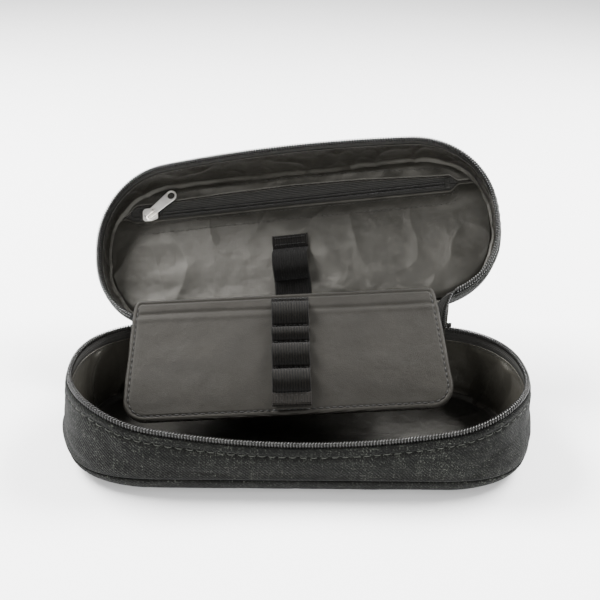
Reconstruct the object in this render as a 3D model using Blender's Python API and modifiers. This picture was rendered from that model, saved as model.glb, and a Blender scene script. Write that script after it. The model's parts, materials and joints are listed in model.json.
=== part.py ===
# Soft zipped pencil case: an oval base with a folding lid, a zipped pocket in the
# lid and a pen flap on the back wall.  Metres, +Z up, +X along the length, -Y is the
# front.  The origin is the middle of the flat bottom.
#
# Everything on the lid is laid out with the case closed and then swung open round
# the seam at the top of the back wall; the flap is laid out flat and then tilted.
import bpy
import bmesh
import math
from mathutils import Matrix, Vector

MM = 0.001

# ---------------------------------------------------------------- dimensions, mm
HALF_LENGTH = 115.0        # half length of the rim
HALF_DEPTH = 46.0          # half depth of the rim
END_POWER = 2.3            # how square the round ends are (2 = round)
RIM_HEIGHT = 47.4          # height of the zip line at the ends
RIM_SLOPE = -0.04          # the zip line falls a little towards the back
RIM_SAG = 18.6             # and sags in the middle of the front
TOP_HEIGHT = 71.0          # outside of the lid when closed
SEAM_HEIGHT = 9.8          # where the bottom pan meets the wall
SKIN = 1.0                 # outer fabric
GAP = 0.3                  # clearance between neighbouring layers
BACK_LEFT = 84.0           # the back wall runs from -BACK_LEFT
BACK_RIGHT = 82.0          # to +BACK_RIGHT
LID_LEFT = 94.0            # the lid wall starts here on the left
LID_RIGHT = 87.0           # and here on the right
COIL_RADIUS = 1.2          # one side of the main zip
TAPE_DEPTH = 13.0          # zip tape below the coil
TAPE_SHOWS = 8.5           # lining stops this far from the zip line

LID_ROLL = math.radians(5.5)   # the soft case folds askew, higher on the right
FLAP_ROLL = math.radians(1.8)
LID_OPEN = math.radians(131.0)
LID_AXIS = Vector((0.0, 47.2, 50.0))
FLAP_SLOPE = math.radians(34.3)
FLAP_AXIS = Vector((0.0, 42.6, 63.0))

POCKET_IN = 66.6           # inner face of the pocket panels, lid closed
PANEL = 0.5
ZIP_T = 73.4               # pocket zip, distance from the lid fold
ZIP_X0, ZIP_X1 = -82.0, 88.7
SLOT_HALF = 5.0
SLIDER_X = -86.8
TAB_TURN = math.radians(37.0)
ELASTIC = 0.8
ELASTIC_WIDTH = 20.0

FLAP_LENGTH = 68.0
FLAP_TOP_HALF = 77.0
FLAP_MID_HALF = 81.0
FLAP_END_HALF = 84.0
FLAP_CORNER = 11.0
FLAP_SHIFT = -7.8

# ---------------------------------------------------------------- start clean
for old in list(bpy.data.objects):
    bpy.data.objects.remove(old, do_unlink=True)

case = bpy.data.collections.new("pencil_case")
bpy.context.scene.collection.children.link(case)
cutters = bpy.data.collections.new("cutters")
bpy.context.scene.collection.children.link(cutters)


def material(name, colour, rough, metal=0.0):
    m = bpy.data.materials.new(name)
    m.use_nodes = True
    b = m.node_tree.nodes["Principled BSDF"]
    b.inputs["Base Color"].default_value = (*colour, 1.0)
    b.inputs["Roughness"].default_value = rough
    b.inputs["Metallic"].default_value = metal
    m.diffuse_color = (*colour, 1.0)
    return m


OUTER = ((0.035, 0.042, 0.043), 0.9, 0.0)
LINING = ((0.022, 0.022, 0.022), 0.5, 0.0)
LEATHERETTE = ((0.03, 0.028, 0.026), 0.45, 0.0)
BOARD = ((0.30, 0.27, 0.22), 0.8, 0.0)
FOAM = ((0.5, 0.5, 0.48), 0.95, 0.0)
TAPE = ((0.03, 0.03, 0.03), 0.8, 0.0)
COIL = ((0.02, 0.02, 0.02), 0.35, 0.0)
RIBBED = ((0.028, 0.025, 0.024), 0.85, 0.0)
NICKEL = ((0.62, 0.60, 0.57), 0.28, 1.0)


def finish(ob, look, parent=None):
    """Name, material, collection and parent of one finished piece."""
    for c in list(ob.users_collection):
        c.objects.unlink(ob)
    case.objects.link(ob)
    ob.data.materials.clear()
    ob.data.materials.append(material(ob.name, *look))
    if parent is not None:
        ob.parent = parent
    return ob


def solidify(ob, thickness, offset=-1.0):
    m = ob.modifiers.new("thickness", 'SOLIDIFY')
    m.thickness = thickness * MM
    m.offset = offset
    m.use_even_offset = False
    return ob


def from_bmesh(name, bm, origin=Vector((0, 0, 0))):
    """A mesh object whose points are given in mm in the closed layout."""
    for v in bm.verts:
        v.co = (v.co - origin) * MM
    me = bpy.data.meshes.new(name)
    bm.to_mesh(me)
    bm.free()
    ob = bpy.data.objects.new(name, me)
    bpy.context.scene.collection.objects.link(ob)
    return ob


def grid_surface(name, rows, origin=Vector((0, 0, 0)), closed=False):
    """An open surface through rows of points; rows run upwards."""
    bm = bmesh.new()
    vs = [[bm.verts.new(p) for p in r] for r in rows]
    n = len(rows[0])
    for a, b in zip(vs, vs[1:]):
        for i in range(n if closed else n - 1):
            j = (i + 1) % n
            bm.faces.new((a[i], a[j], b[j], b[i]))
    return from_bmesh(name, bm, origin)


# ---------------------------------------------------------------- the oval
def straight():
    return HALF_LENGTH - HALF_DEPTH


def end_angle(x, inset):
    """Angle on a round end where the outline is |x| from the middle, at the back."""
    r = HALF_DEPTH - inset
    f = min(max((abs(x) - straight()) / r, 0.0), 1.0)
    return math.acos(f ** (END_POWER / 2.0))


def end_point(a, r):
    x = straight() + r * abs(math.cos(a)) ** (2.0 / END_POWER)
    y = r * math.copysign(abs(math.sin(a)) ** (2.0 / END_POWER), math.sin(a))
    return x, y


def stations(left, right, n_end=14, n_front=8):
    """(side, parameter) pairs from the back left corner round the front to the back right."""
    al, ar = end_angle(left, 0.0), end_angle(right, 0.0)
    s = [("L", al + (-math.pi / 2 - al) * i / n_end) for i in range(n_end)]
    s += [("F", -1.0 + 2.0 * i / n_front) for i in range(n_front)]
    s += [("R", -math.pi / 2 + (ar + math.pi / 2) * i / n_end) for i in range(n_end + 1)]
    return s


def oval_at(st, inset):
    side, a = st
    r = HALF_DEPTH - inset
    if side == "F":
        return a * straight(), -r
    x, y = end_point(a, r)
    return (-x if side == "L" else x), y


def full_oval(inset, n_end=16, n_side=8):
    pts = []
    for i in range(n_end):
        x, y = end_point(math.pi / 2 - math.pi * i / n_end, HALF_DEPTH - inset)
        pts.append((-x, y))
    for i in range(n_side):
        pts.append((-straight() + 2 * straight() * i / n_side, -(HALF_DEPTH - inset)))
    for i in range(n_end):
        x, y = end_point(-math.pi / 2 + math.pi * i / n_end, HALF_DEPTH - inset)
        pts.append((x, y))
    for i in range(n_side):
        pts.append((straight() - 2 * straight() * i / n_side, HALF_DEPTH - inset))
    return pts


def oval_back_y(x, inset=0.0):
    """y of the back of the oval at x."""
    r = HALF_DEPTH - inset
    f = max(abs(x) - straight(), 0.0) / r
    return r * (1.0 - min(f, 1.0) ** END_POWER) ** (1.0 / END_POWER)


def rim(x, y):
    """Height of the line where the two sides of the zip meet."""
    front = min(max(-y / HALF_DEPTH, 0.0), 1.0)
    return RIM_HEIGHT + RIM_SLOPE * y - RIM_SAG * front ** 2 * (1.0 - (x / HALF_LENGTH) ** 2)


def base_bulge(z, top):
    if z < SEAM_HEIGHT:                     # the lining turns in above the pan
        return 0.8 - 0.5 * (SEAM_HEIGHT - z)
    f = min((z - SEAM_HEIGHT) / (top - SEAM_HEIGHT), 1.0)
    return 0.8 * (1.0 - f) + 1.8 * math.sin(math.pi * f)


def lid_bulge(z, low):
    f = min(max((z - low) / (TOP_HEIGHT - 1.2 - low), 0.0), 1.0)
    return 1.3 * math.sin(math.pi * f)


def wall(name, left, right, depth, low, high, bulge, thickness, look, origin=Vector((0, 0, 0)),
         parent=None, rows=4):
    """A band that follows the oval, `depth` inside the outer face, between two heights."""
    grid = []
    sts = stations(left, right)
    for k in range(rows + 1):
        row = []
        for st in sts:
            x, y = oval_at(st, 0.0)
            r = rim(x, y)
            z = low(r) + (high(r) - low(r)) * k / rows
            px, py = oval_at(st, depth - bulge(z, r))
            row.append((px, py, z))
        grid.append(row)
    ob = grid_surface(name, grid, origin)
    solidify(ob, thickness)
    return finish(ob, look, parent)


def clip(poly, nx, ny, c):
    """Keep the part of a flat outline where nx*x + ny*y <= c."""
    out = []
    for i, p in enumerate(poly):
        q = poly[(i + 1) % len(poly)]
        dp, dq = nx * p[0] + ny * p[1] - c, nx * q[0] + ny * q[1] - c
        if dp <= 0:
            out.append(p)
        if (dp < 0 < dq) or (dq < 0 < dp):
            t = dp / (dp - dq)
            out.append((p[0] + t * (q[0] - p[0]), p[1] + t * (q[1] - p[1])))
    clean = []
    for p in out:
        if not clean or math.dist(p, clean[-1]) > 0.05:
            clean.append(p)
    if math.dist(clean[0], clean[-1]) < 0.05:
        clean.pop()
    return clean


def plate(name, outline, z, thickness, look, origin=Vector((0, 0, 0)), parent=None):
    """A flat sheet on an outline, from z up to z + thickness."""
    bm = bmesh.new()
    vs = [bm.verts.new((x, y, z + thickness)) for x, y in outline]
    f = bm.faces.new(vs)
    f.normal_update()
    if f.normal.z < 0:
        f.normal_flip()
    ob = from_bmesh(name, bm, origin)
    solidify(ob, thickness)
    return finish(ob, look, parent)


def tube(name, pts, radius, look, origin=Vector((0, 0, 0)), parent=None, cyclic=False, res=1):
    cu = bpy.data.curves.new(name, 'CURVE')
    cu.dimensions = '3D'
    cu.bevel_depth = radius * MM
    cu.bevel_resolution = res
    cu.use_fill_caps = True
    sp = cu.splines.new('POLY')
    sp.points.add(len(pts) - 1)
    for p, q in zip(sp.points, pts):
        c = (Vector(q) - origin) * MM
        p.co = (c.x, c.y, c.z, 1.0)
    sp.use_cyclic_u = cyclic
    ob = bpy.data.objects.new(name, cu)
    bpy.context.scene.collection.objects.link(ob)
    return finish(ob, look, parent)


# ---------------------------------------------------------------- the base
def bottom_panel():
    """The pan: a flat middle that rounds up to the side seam."""
    profile = [(9.0, 0.0), (5.0, 0.5), (2.0, 2.2), (0.2, 5.0), (-0.7, 8.0), (-0.8, SEAM_HEIGHT - GAP)]
    bm = bmesh.new()
    rings = []
    for inset, z in profile:
        rings.append([bm.verts.new((x, y, z)) for x, y in full_oval(inset)])
    n = len(rings[0])
    for a, b in zip(rings, rings[1:]):
        for i in range(n):
            j = (i + 1) % n
            bm.faces.new((a[i], a[j], b[j], b[i]))
    bm.faces.new(list(reversed(rings[0])))
    ob = from_bmesh("base_bottom_panel", bm)
    solidify(ob, SKIN)
    return finish(ob, OUTER)


bottom_panel()
plate("base_stiffener_board", full_oval(9.5), 1.3, 0.9, BOARD)
plate("base_lining_floor", full_oval(5.0), 2.6, 0.6, LINING)

coil_low = COIL_RADIUS * 2 + 0.45           # wall layers stop this far from the zip line
wall("base_gusset", BACK_LEFT + 0.6, BACK_RIGHT + 0.6, 0.0,
     lambda r: SEAM_HEIGHT, lambda r: r - coil_low, base_bulge, SKIN, OUTER, rows=5)
wall("base_gusset_foam", BACK_LEFT + 0.6, BACK_RIGHT + 0.6, SKIN + GAP,
     lambda r: SEAM_HEIGHT, lambda r: r - TAPE_DEPTH - GAP, base_bulge, 0.6, FOAM, rows=3)
wall("main_zip_base_tape", BACK_LEFT + 0.6, BACK_RIGHT + 0.6, SKIN + GAP,
     lambda r: r - TAPE_DEPTH, lambda r: r - coil_low, base_bulge, 0.6, TAPE, rows=3)
wall("base_lining_wall", BACK_LEFT + 0.6, BACK_RIGHT + 0.6, SKIN + 2 * GAP + 0.6,
     lambda r: 4.2, lambda r: r - TAPE_SHOWS, base_bulge, 0.6, LINING, rows=4)


def rim_path(left, right, inset, lift):
    pts = []
    for st in stations(left, right, 18, 10):
        x, y = oval_at(st, 0.0)
        z = rim(x, y)
        px, py = oval_at(st, inset)
        pts.append((px, py, z + lift))
    return pts


tube("main_zip_base_coil", rim_path(BACK_LEFT + 1.0, BACK_RIGHT + 1.0, COIL_RADIUS, -COIL_RADIUS - 0.15),
     COIL_RADIUS, COIL)


def fold_z(x):
    """Height of the lid fold line."""
    return LID_AXIS.z + math.tan(LID_ROLL) * x


def back_wall(name, depth, low, below_fold, thickness, look, rows=5, cols=24):
    """The wall behind: follows the oval and stops a little below the fold line."""
    grid = []
    for k in range(rows + 1):
        row = []
        for i in range(cols + 1):
            # from +x to -x, so the outer face looks back
            x = BACK_RIGHT - (BACK_RIGHT + BACK_LEFT) * i / cols
            z = low + (fold_z(x) - below_fold - low) * k / rows
            y = oval_back_y(x, 0.0) + 0.2 - depth
            y += 0.25 * math.sin(math.pi * min(max((z - SEAM_HEIGHT) / 40.0, 0.0), 1.0))
            row.append((x, y, z))
        grid.append(row)
    ob = grid_surface(name, grid)
    solidify(ob, thickness)
    return finish(ob, look)


back_wall("back_panel", 0.0, SEAM_HEIGHT, 1.7, SKIN, OUTER)
back_wall("back_panel_lining", SKIN + GAP, SEAM_HEIGHT, 1.9, 0.6, LINING)

# ---------------------------------------------------------------- the fold frames
lid_skew = Matrix.Rotation(-LID_ROLL, 3, 'Y')
flap_skew = Matrix.Rotation(-FLAP_ROLL, 3, 'Y')
fold_direction = lid_skew @ Vector((1, 0, 0))
flap_direction = flap_skew @ Vector((1, 0, 0))

lid_pivot = bpy.data.objects.new("lid_pivot", None)
case.objects.link(lid_pivot)
lid_pivot.location = LID_AXIS * MM
lid_pivot.rotation_mode = 'QUATERNION'
lid_pivot.rotation_quaternion = Matrix.Rotation(-LID_OPEN, 3, fold_direction).to_quaternion()

flap_pivot = bpy.data.objects.new("flap_pivot", None)
case.objects.link(flap_pivot)
flap_pivot.location = FLAP_AXIS * MM
flap_pivot.rotation_mode = 'QUATERNION'
flap_pivot.rotation_quaternion = (flap_skew @ Matrix.Rotation(FLAP_SLOPE, 3, 'X')).to_quaternion()

# The seam roll lies on the fold line itself.
tube("lid_hinge_seam", [LID_AXIS + fold_direction * s for s in (-82, -54, -27, 0, 27, 54, 80)],
     1.0, OUTER, res=1)


def hinge_strip():
    """The leatherette strip that stands up behind the flap, from the fold to the flap."""
    grid = []
    for k in range(3):
        f = k / 2
        row = []
        for i in range(13):
            x = 70.0 - 150.0 * i / 12
            low = fold_z(x) + 1.6
            high = FLAP_AXIS.z - 2.1 + math.tan(FLAP_ROLL) * x
            row.append((x, 44.7 - 1.8 * f, low + (high - low) * f))
        grid.append(row)
    ob = grid_surface("flap_hinge_strip", grid)
    solidify(ob, 0.7)
    return finish(ob, LEATHERETTE)


hinge_strip()

# ---------------------------------------------------------------- the lid, laid out closed
O = LID_AXIS


def lid_outline(inset, margin=0.0):
    """The oval, cut straight at the back."""
    return clip(full_oval(inset), 0.0, 1.0, LID_AXIS.y - 2.9 - margin)


plate("lid_top_panel", full_oval(0.0), TOP_HEIGHT - 0.9, 0.9, OUTER, O, lid_pivot)
plate("lid_stiffener_board", lid_outline(2.0, 0.5), TOP_HEIGHT - 2.0, 0.8, BOARD, O, lid_pivot)
plate("lid_lining_backing", lid_outline(2.4, 0.5), TOP_HEIGHT - 2.8, 0.5, LINING, O, lid_pivot)



def lid_back(name, depth, thickness, look, above_fold, below_top, rows=3, cols=24):
    """The lid's own back wall, straight at the fold and round at the top panel."""
    grid = []
    for k in range(rows + 1):
        row = []
        for i in range(cols + 1):
            x = BACK_RIGHT - (BACK_RIGHT + BACK_LEFT) * i / cols
            low = fold_z(x) + above_fold
            z = low + (TOP_HEIGHT - below_top - low) * k / rows
            f = (z - fold_z(x)) / (TOP_HEIGHT - fold_z(x))
            y = (1 - f) * (LID_AXIS.y - 0.3) + f * (oval_back_y(x) + 0.9) - depth
            row.append((x, y, z))
        grid.append(row)
    ob = grid_surface(name, grid, O)
    solidify(ob, thickness)
    return finish(ob, look, lid_pivot)


lid_back("lid_back_panel", 0.0, SKIN, OUTER, 1.5, 1.3)
lid_back("lid_back_lining", SKIN + GAP, 0.6, LINING, 1.7, TOP_HEIGHT - POCKET_IN + 0.3)

wall("lid_gusset", LID_LEFT, LID_RIGHT, 0.0, lambda r: r + coil_low, lambda r: TOP_HEIGHT - 1.2,
     lambda z, r: lid_bulge(z, r + coil_low), SKIN, OUTER, O, lid_pivot, rows=4)
wall("main_zip_lid_tape", LID_LEFT, LID_RIGHT, SKIN + GAP, lambda r: r + coil_low,
     lambda r: r + TAPE_DEPTH, lambda z, r: lid_bulge(z, r + coil_low), 0.6, TAPE, O, lid_pivot, rows=3)
wall("lid_gusset_foam", LID_LEFT, LID_RIGHT, SKIN + GAP, lambda r: r + TAPE_DEPTH + GAP,
     lambda r: TOP_HEIGHT - 3.2, lambda z, r: lid_bulge(z, r + coil_low), 0.6, FOAM, O, lid_pivot, rows=3)
wall("lid_lining_wall", LID_LEFT, LID_RIGHT, SKIN + 2 * GAP + 0.6, lambda r: r + TAPE_SHOWS,
     lambda r: POCKET_IN - GAP, lambda z, r: lid_bulge(z, r + coil_low), 0.6, LINING, O, lid_pivot, rows=3)
tube("main_zip_lid_coil", rim_path(LID_LEFT + 0.6, LID_RIGHT + 0.6, COIL_RADIUS, COIL_RADIUS + 0.15),
     COIL_RADIUS, COIL, O, lid_pivot)

zip_y = LID_AXIS.y - ZIP_T
plate("pocket_panel_upper", clip(lid_outline(3.2, 1.0), 0, 1, zip_y - SLOT_HALF), POCKET_IN, PANEL,
      LINING, O, lid_pivot)
plate("pocket_panel_lower", clip(lid_outline(3.2, 1.0), 0, -1, -(zip_y + SLOT_HALF)), POCKET_IN, PANEL,
      LINING, O, lid_pivot)


def lid_strip(inset, y0, y1):
    """The part of the lid outline between two distances."""
    return clip(clip(lid_outline(inset, 1.0), 0, 1, y1), 0, -1, -y0)


tape_z = POCKET_IN + PANEL + GAP
plate("pocket_zip_tape_upper", lid_strip(4.0, zip_y - 10.0, zip_y - 0.15), tape_z, 0.5, TAPE, O, lid_pivot)
plate("pocket_zip_tape_lower", lid_strip(4.0, zip_y + 0.15, zip_y + 10.0), tape_z, 0.5, TAPE, O, lid_pivot)


def coil_strip(name, side):
    """One side of the fine pocket coil, a slim bar with its edges rounded."""
    bm = bmesh.new()
    bmesh.ops.create_cube(bm, size=1.0)
    for v in bm.verts:
        v.co = Vector(((v.co.x) * (ZIP_X1 - ZIP_X0) + (ZIP_X1 + ZIP_X0) / 2,
                       v.co.y * 1.5 + zip_y + side * 0.95, v.co.z * 1.0 + tape_z - GAP - 0.5))
    ob = from_bmesh(name, bm, O)
    b = ob.modifiers.new("round", 'BEVEL')
    b.width = 0.3 * MM
    b.segments = 1
    return finish(ob, COIL, lid_pivot)


coil_strip("pocket_zip_coil_upper", -1)
coil_strip("pocket_zip_coil_lower", 1)


# ---------------------------------------------------------------- elastic bands
def arch_path(segments, level):
    """Side view of a band: (start, end, height) loops with flat sewn parts between."""
    pts = []
    for a, b, h in segments:
        if h <= 0:
            pts += [(a, level), (b, level)]
        else:
            n = 10
            for i in range(n + 1):
                u = -math.cos(math.pi * i / n)
                pts.append(((a + b) / 2 + (b - a) / 2 * u, level + h * (1.0 - abs(u) ** 3)))
    clean = [pts[0]]
    for p in pts[1:]:
        if math.dist(p, clean[-1]) > 0.05:
            clean.append(p)
    return clean


def band(name, path, place, width, parent, origin):
    """A flat band of the given width swept through a side view."""
    bm = bmesh.new()
    n = 4
    cols = []
    for s, h in path:
        cols.append([bm.verts.new(place(s, h, -width / 2 + width * k / n)) for k in range(n + 1)])
    for a, b in zip(cols, cols[1:]):
        for k in range(n):
            bm.faces.new((a[k], a[k + 1], b[k + 1], b[k]))
    ob = from_bmesh(name, bm, origin)
    solidify(ob, ELASTIC, 0.0)
    return finish(ob, RIBBED, parent)


# On the lid the band starts near the fold and its loop takes a highlighter.
LID_BAND_X = -3.6
lid_path = arch_path([(14.0, 24.0, 0), (25.0, 43.0, 8.0), (44.0, 51.0, 0)], 0.0)
band("lid_elastic_loop", lid_path,
     lambda s, h, x: Vector((LID_BAND_X + x, LID_AXIS.y - s, POCKET_IN - GAP - ELASTIC / 2 - h)),
     ELASTIC_WIDTH, lid_pivot, O)

# ---------------------------------------------------------------- the flap, laid out flat
# Local frame of flap_pivot: x along the fold, -y down the flap, z off its upper face.
FLAP_HALF_THICK = 1.45


def flap_outline(inset):
    e, r = FLAP_END_HALF - inset, FLAP_CORNER - inset * 0.6
    end = FLAP_LENGTH - inset
    pts = [(FLAP_TOP_HALF - inset, 1.0 + inset), (FLAP_MID_HALF - 1.0 - inset, 6.0),
           (FLAP_MID_HALF - inset, 14.0)]
    for i in range(9):
        a = math.pi / 2 * i / 8
        pts.append((e - r + r * math.cos(a), end - r + r * math.sin(a)))
    pts += [(-x, v) for x, v in reversed(pts)]
    return [(x + FLAP_SHIFT, -v) for x, v in pts]


def flap_plate(name, inset, z, thickness, look):
    return plate(name, flap_outline(inset), z, thickness, look, Vector((0, 0, 0)), flap_pivot)


flap_plate("flap_back_skin", 0.0, -FLAP_HALF_THICK, 0.7, LEATHERETTE)
flap_plate("flap_board", 2.5, -FLAP_HALF_THICK + 0.7 + GAP, 0.8, BOARD)
flap_plate("flap_front_skin", 0.0, FLAP_HALF_THICK - 0.8, 0.8, LEATHERETTE)

flap_path = arch_path([(2.4, 4.2, 0), (5.2, 18.2, 6.5), (20.2, 27.8, 5.0), (29.8, 42.4, 7.4),
                       (44.4, 57.6, 7.4), (58.6, 63.5, 0)], 0.0)
LEAN = math.radians(1.0)


def on_flap(s, h, x):
    """Place a point of the band on the flap; the band leans a little across it."""
    px = FLAP_SHIFT + 3.0 + x * math.cos(LEAN) - s * math.sin(LEAN)
    py = -s * math.cos(LEAN) - x * math.sin(LEAN)
    return Vector((px, py, FLAP_HALF_THICK + GAP + ELASTIC / 2 + h))


band("flap_elastic_loops", flap_path, on_flap, ELASTIC_WIDTH, flap_pivot, Vector((0, 0, 0)))


# ---------------------------------------------------------------- sliders and pull tabs
def flat_curve(name, outlines, half):
    """A flat piece with holes: closed outlines in its own x-y plane."""
    cu = bpy.data.curves.new(name, 'CURVE')
    cu.dimensions = '2D'
    cu.fill_mode = 'BOTH'
    cu.extrude = half * MM
    for pts in outlines:
        sp = cu.splines.new('POLY')
        sp.points.add(len(pts) - 1)
        for p, (x, y) in zip(sp.points, pts):
            p.co = (x * MM, y * MM, 0.0, 1.0)
        sp.use_cyclic_u = True
    ob = bpy.data.objects.new(name, cu)
    bpy.context.scene.collection.objects.link(ob)
    return ob


def curve_to_mesh(ob):
    """Turn a flat curve piece into a welded mesh object of the same name."""
    bpy.context.view_layer.update()
    name = ob.name
    dg = bpy.context.evaluated_depsgraph_get()
    me = bpy.data.meshes.new_from_object(ob.evaluated_get(dg))
    bm = bmesh.new()
    bm.from_mesh(me)
    bmesh.ops.remove_doubles(bm, verts=bm.verts, dist=1e-6)
    bm.to_mesh(me)
    bm.free()
    new = bpy.data.objects.new(name + "_mesh", me)
    new.matrix_world = ob.matrix_world.copy()
    bpy.data.objects.remove(ob, do_unlink=True)
    new.name = name
    bpy.context.scene.collection.objects.link(new)
    return new


def rounded(x0, x1, half0, half1, n=6):
    """A tapered bar outline from x0 to x1 with round ends."""
    pts = []
    for i in range(n + 1):
        a = -math.pi / 2 + math.pi * i / n
        pts.append((x1 - half1 + half1 * math.cos(a), half1 * math.sin(a)))
    for i in range(n + 1):
        a = math.pi / 2 + math.pi * i / n
        pts.append((x0 + half0 + half0 * math.cos(a), half0 * math.sin(a)))
    return pts


TAB_END = 21.4             # from the pin line to the tip
TAB_HALF_THICK = 0.45
TAB_LIFT = 1.1             # tab centre plane above the slider plate


def pull_tab(name, parent, location, rotation):
    """The tab: pin bar at its origin, a slot round the bridge, a ring at the far end."""
    outer = rounded(-0.55 - 1.2, TAB_END, 2.4, 3.4)
    outer[:] = [(max(x, -0.55), y) for x, y in outer]
    seen = []
    for p in outer:
        if not seen or math.dist(p, seen[-1]) > 0.08:
            seen.append(p)
    slot = [(0.6, -1.25), (5.0, -1.25), (5.6, -0.6), (5.6, 0.6), (5.0, 1.25), (0.6, 1.25)]
    ring = [(TAB_END - 3.4 + 2.2 * math.cos(2 * math.pi * i / 14), 2.2 * math.sin(2 * math.pi * i / 14))
            for i in range(14)]
    ob = flat_curve(name, [seen, slot, ring], TAB_HALF_THICK)
    ob = curve_to_mesh(ob)
    ob.rotation_mode = 'QUATERNION'
    finish(ob, NICKEL, parent)
    ob.location = location
    ob.rotation_quaternion = rotation
    return ob


def slider(name, parent, location, rotation, bridge_turn):
    """A tapered plate with a bridge over it; its top face is the local x-y plane."""
    plate_pts = [(-4.6, -2.6), (-3.4, -3.9), (0.5, -4.1), (4.2, -3.0), (4.6, -2.4),
                 (4.6, 2.4), (4.2, 3.0), (0.5, 4.1), (-3.4, 3.9), (-4.6, 2.6)]
    ob = curve_to_mesh(flat_curve(name, [plate_pts], 0.5))
    for v in ob.data.vertices:
        v.co.z -= 0.5 * MM
    # bridge: a side view with a window, stood up along the tab direction
    bridge = curve_to_mesh(flat_curve(name + "_bridge", [
        [(-3.2, -0.4), (3.2, -0.4), (3.2, 2.4), (2.5, 3.2), (-2.5, 3.2), (-3.2, 2.4)],
        [(-2.3, 0.02), (2.3, 0.02), (2.3, 2.0), (2.0, 2.3), (-2.0, 2.3), (-2.3, 2.0)]], 0.8))
    turn = Matrix.Rotation(bridge_turn, 4, 'Z') @ Matrix.Rotation(math.pi / 2, 4, 'X')
    bridge.data.transform(turn)
    for c in list(bridge.users_collection):
        c.objects.unlink(bridge)
    cutters.objects.link(bridge)
    bridge.hide_render = True
    bridge.display_type = 'WIRE'
    m = ob.modifiers.new("bridge", 'BOOLEAN')
    m.operation = 'UNION'
    m.object = bridge
    ob.rotation_mode = 'QUATERNION'
    finish(ob, NICKEL, parent)
    for o in (ob, bridge):
        o.rotation_mode = 'QUATERNION'
        o.parent = parent
        o.location = location
        o.rotation_quaternion = rotation
    return ob


# Pocket slider: its top face looks down into the case when the lid is closed.
down = Matrix.Rotation(math.pi, 3, 'X')
pocket_at = (Vector((SLIDER_X, zip_y, POCKET_IN - 1.9)) - O) * MM
slider("pocket_zip_slider", lid_pivot, pocket_at, down.to_quaternion(), TAB_TURN)
along = Matrix.Rotation(TAB_TURN, 3, 'Z')
pin = pocket_at + down @ (along @ Vector((-1.2, 0, 0)) + Vector((0, 0, TAB_LIFT))) * MM
pull_tab("pocket_zip_pull_tab", lid_pivot, pin, (down @ along).to_quaternion())

# Main slider: parked at the right end of the zip, which runs down the back wall.
MAIN_X = 78.0
MAIN_Z = 35.0
main_y = oval_back_y(MAIN_X) + 0.2 + 0.25 + GAP + 1.0
back_face = Matrix(((0, 1, 0), (0, 0, 1), (1, 0, 0)))      # local x up, local z looks back
main_at = Vector((MAIN_X, main_y, MAIN_Z)) * MM
slider("main_zip_slider", None, main_at, back_face.to_quaternion(), 0.0)
hang = Matrix(((0, -1, 0), (0, 0, 1), (-1, 0, 0)))         # the tab hangs straight down
main_pin = main_at + back_face @ Vector((1.2, 0, TAB_LIFT)) * MM
pull_tab("main_zip_pull_tab", None, main_pin, hang.to_quaternion())

bpy.context.view_layer.update()
for ob in case.objects:
    if ob.type == 'MESH' and ob.name.startswith(("base_", "lid_", "back_", "main_zip", "pocket_zip_slider")):
        ob.data.shade_smooth()
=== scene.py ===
# Looks of the soft pencil case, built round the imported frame.  Lengths are in mm in the
# functions and are turned into metres when a mesh is made.  The lid is laid out closed and
# swung open round its fold, as the frame is.
import json
import math

import bpy
import bmesh
import numpy as np
from mathutils import Matrix, Vector

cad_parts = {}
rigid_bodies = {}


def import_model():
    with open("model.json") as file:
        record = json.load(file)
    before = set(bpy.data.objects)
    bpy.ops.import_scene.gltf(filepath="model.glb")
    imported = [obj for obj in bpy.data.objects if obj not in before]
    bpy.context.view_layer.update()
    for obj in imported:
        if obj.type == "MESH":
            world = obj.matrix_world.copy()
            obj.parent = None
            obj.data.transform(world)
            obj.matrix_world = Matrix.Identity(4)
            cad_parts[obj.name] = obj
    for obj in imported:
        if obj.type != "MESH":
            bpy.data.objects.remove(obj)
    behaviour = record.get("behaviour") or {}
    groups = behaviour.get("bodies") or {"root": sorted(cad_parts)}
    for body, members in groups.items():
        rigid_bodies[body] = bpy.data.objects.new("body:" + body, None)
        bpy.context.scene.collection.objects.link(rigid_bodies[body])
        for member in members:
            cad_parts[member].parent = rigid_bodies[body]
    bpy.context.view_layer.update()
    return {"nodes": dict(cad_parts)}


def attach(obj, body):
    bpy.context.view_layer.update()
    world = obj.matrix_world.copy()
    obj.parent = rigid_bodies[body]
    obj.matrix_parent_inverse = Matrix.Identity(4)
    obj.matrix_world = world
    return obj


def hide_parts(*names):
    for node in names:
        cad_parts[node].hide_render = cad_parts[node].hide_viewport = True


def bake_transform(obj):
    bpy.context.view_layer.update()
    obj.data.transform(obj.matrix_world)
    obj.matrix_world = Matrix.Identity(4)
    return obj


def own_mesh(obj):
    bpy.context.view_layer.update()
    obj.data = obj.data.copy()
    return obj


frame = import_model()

MM = 0.001
HALF_LENGTH, HALF_DEPTH, POWER = 115.0, 46.0, 2.3
STRAIGHT = HALF_LENGTH - HALF_DEPTH
RIM_HEIGHT, RIM_SLOPE, RIM_SAG = 47.4, -0.04, 18.6
TOP, SEAM = 71.0, 9.8
BACK_LEFT, BACK_RIGHT = 84.0, 82.0
LID_ROLL, LID_OPEN = math.radians(5.5), math.radians(131.0)
AXIS = np.array([0.0, 47.2, 50.0])
FLAP_AXIS = np.array([0.0, 42.6, 63.0])
FLAP_ROLL, FLAP_SLOPE = math.radians(1.8), math.radians(34.3)
POCKET_IN, ZIP_T = 66.6, 73.4
ZIP_Y = AXIS[1] - ZIP_T
ZIP_X0, ZIP_X1 = -82.0, 88.7
SLIDER_X = -86.8
LID_BAND_X, FLAP_SHIFT = -3.6, -7.8
LEAN = math.radians(1.0)


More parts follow.
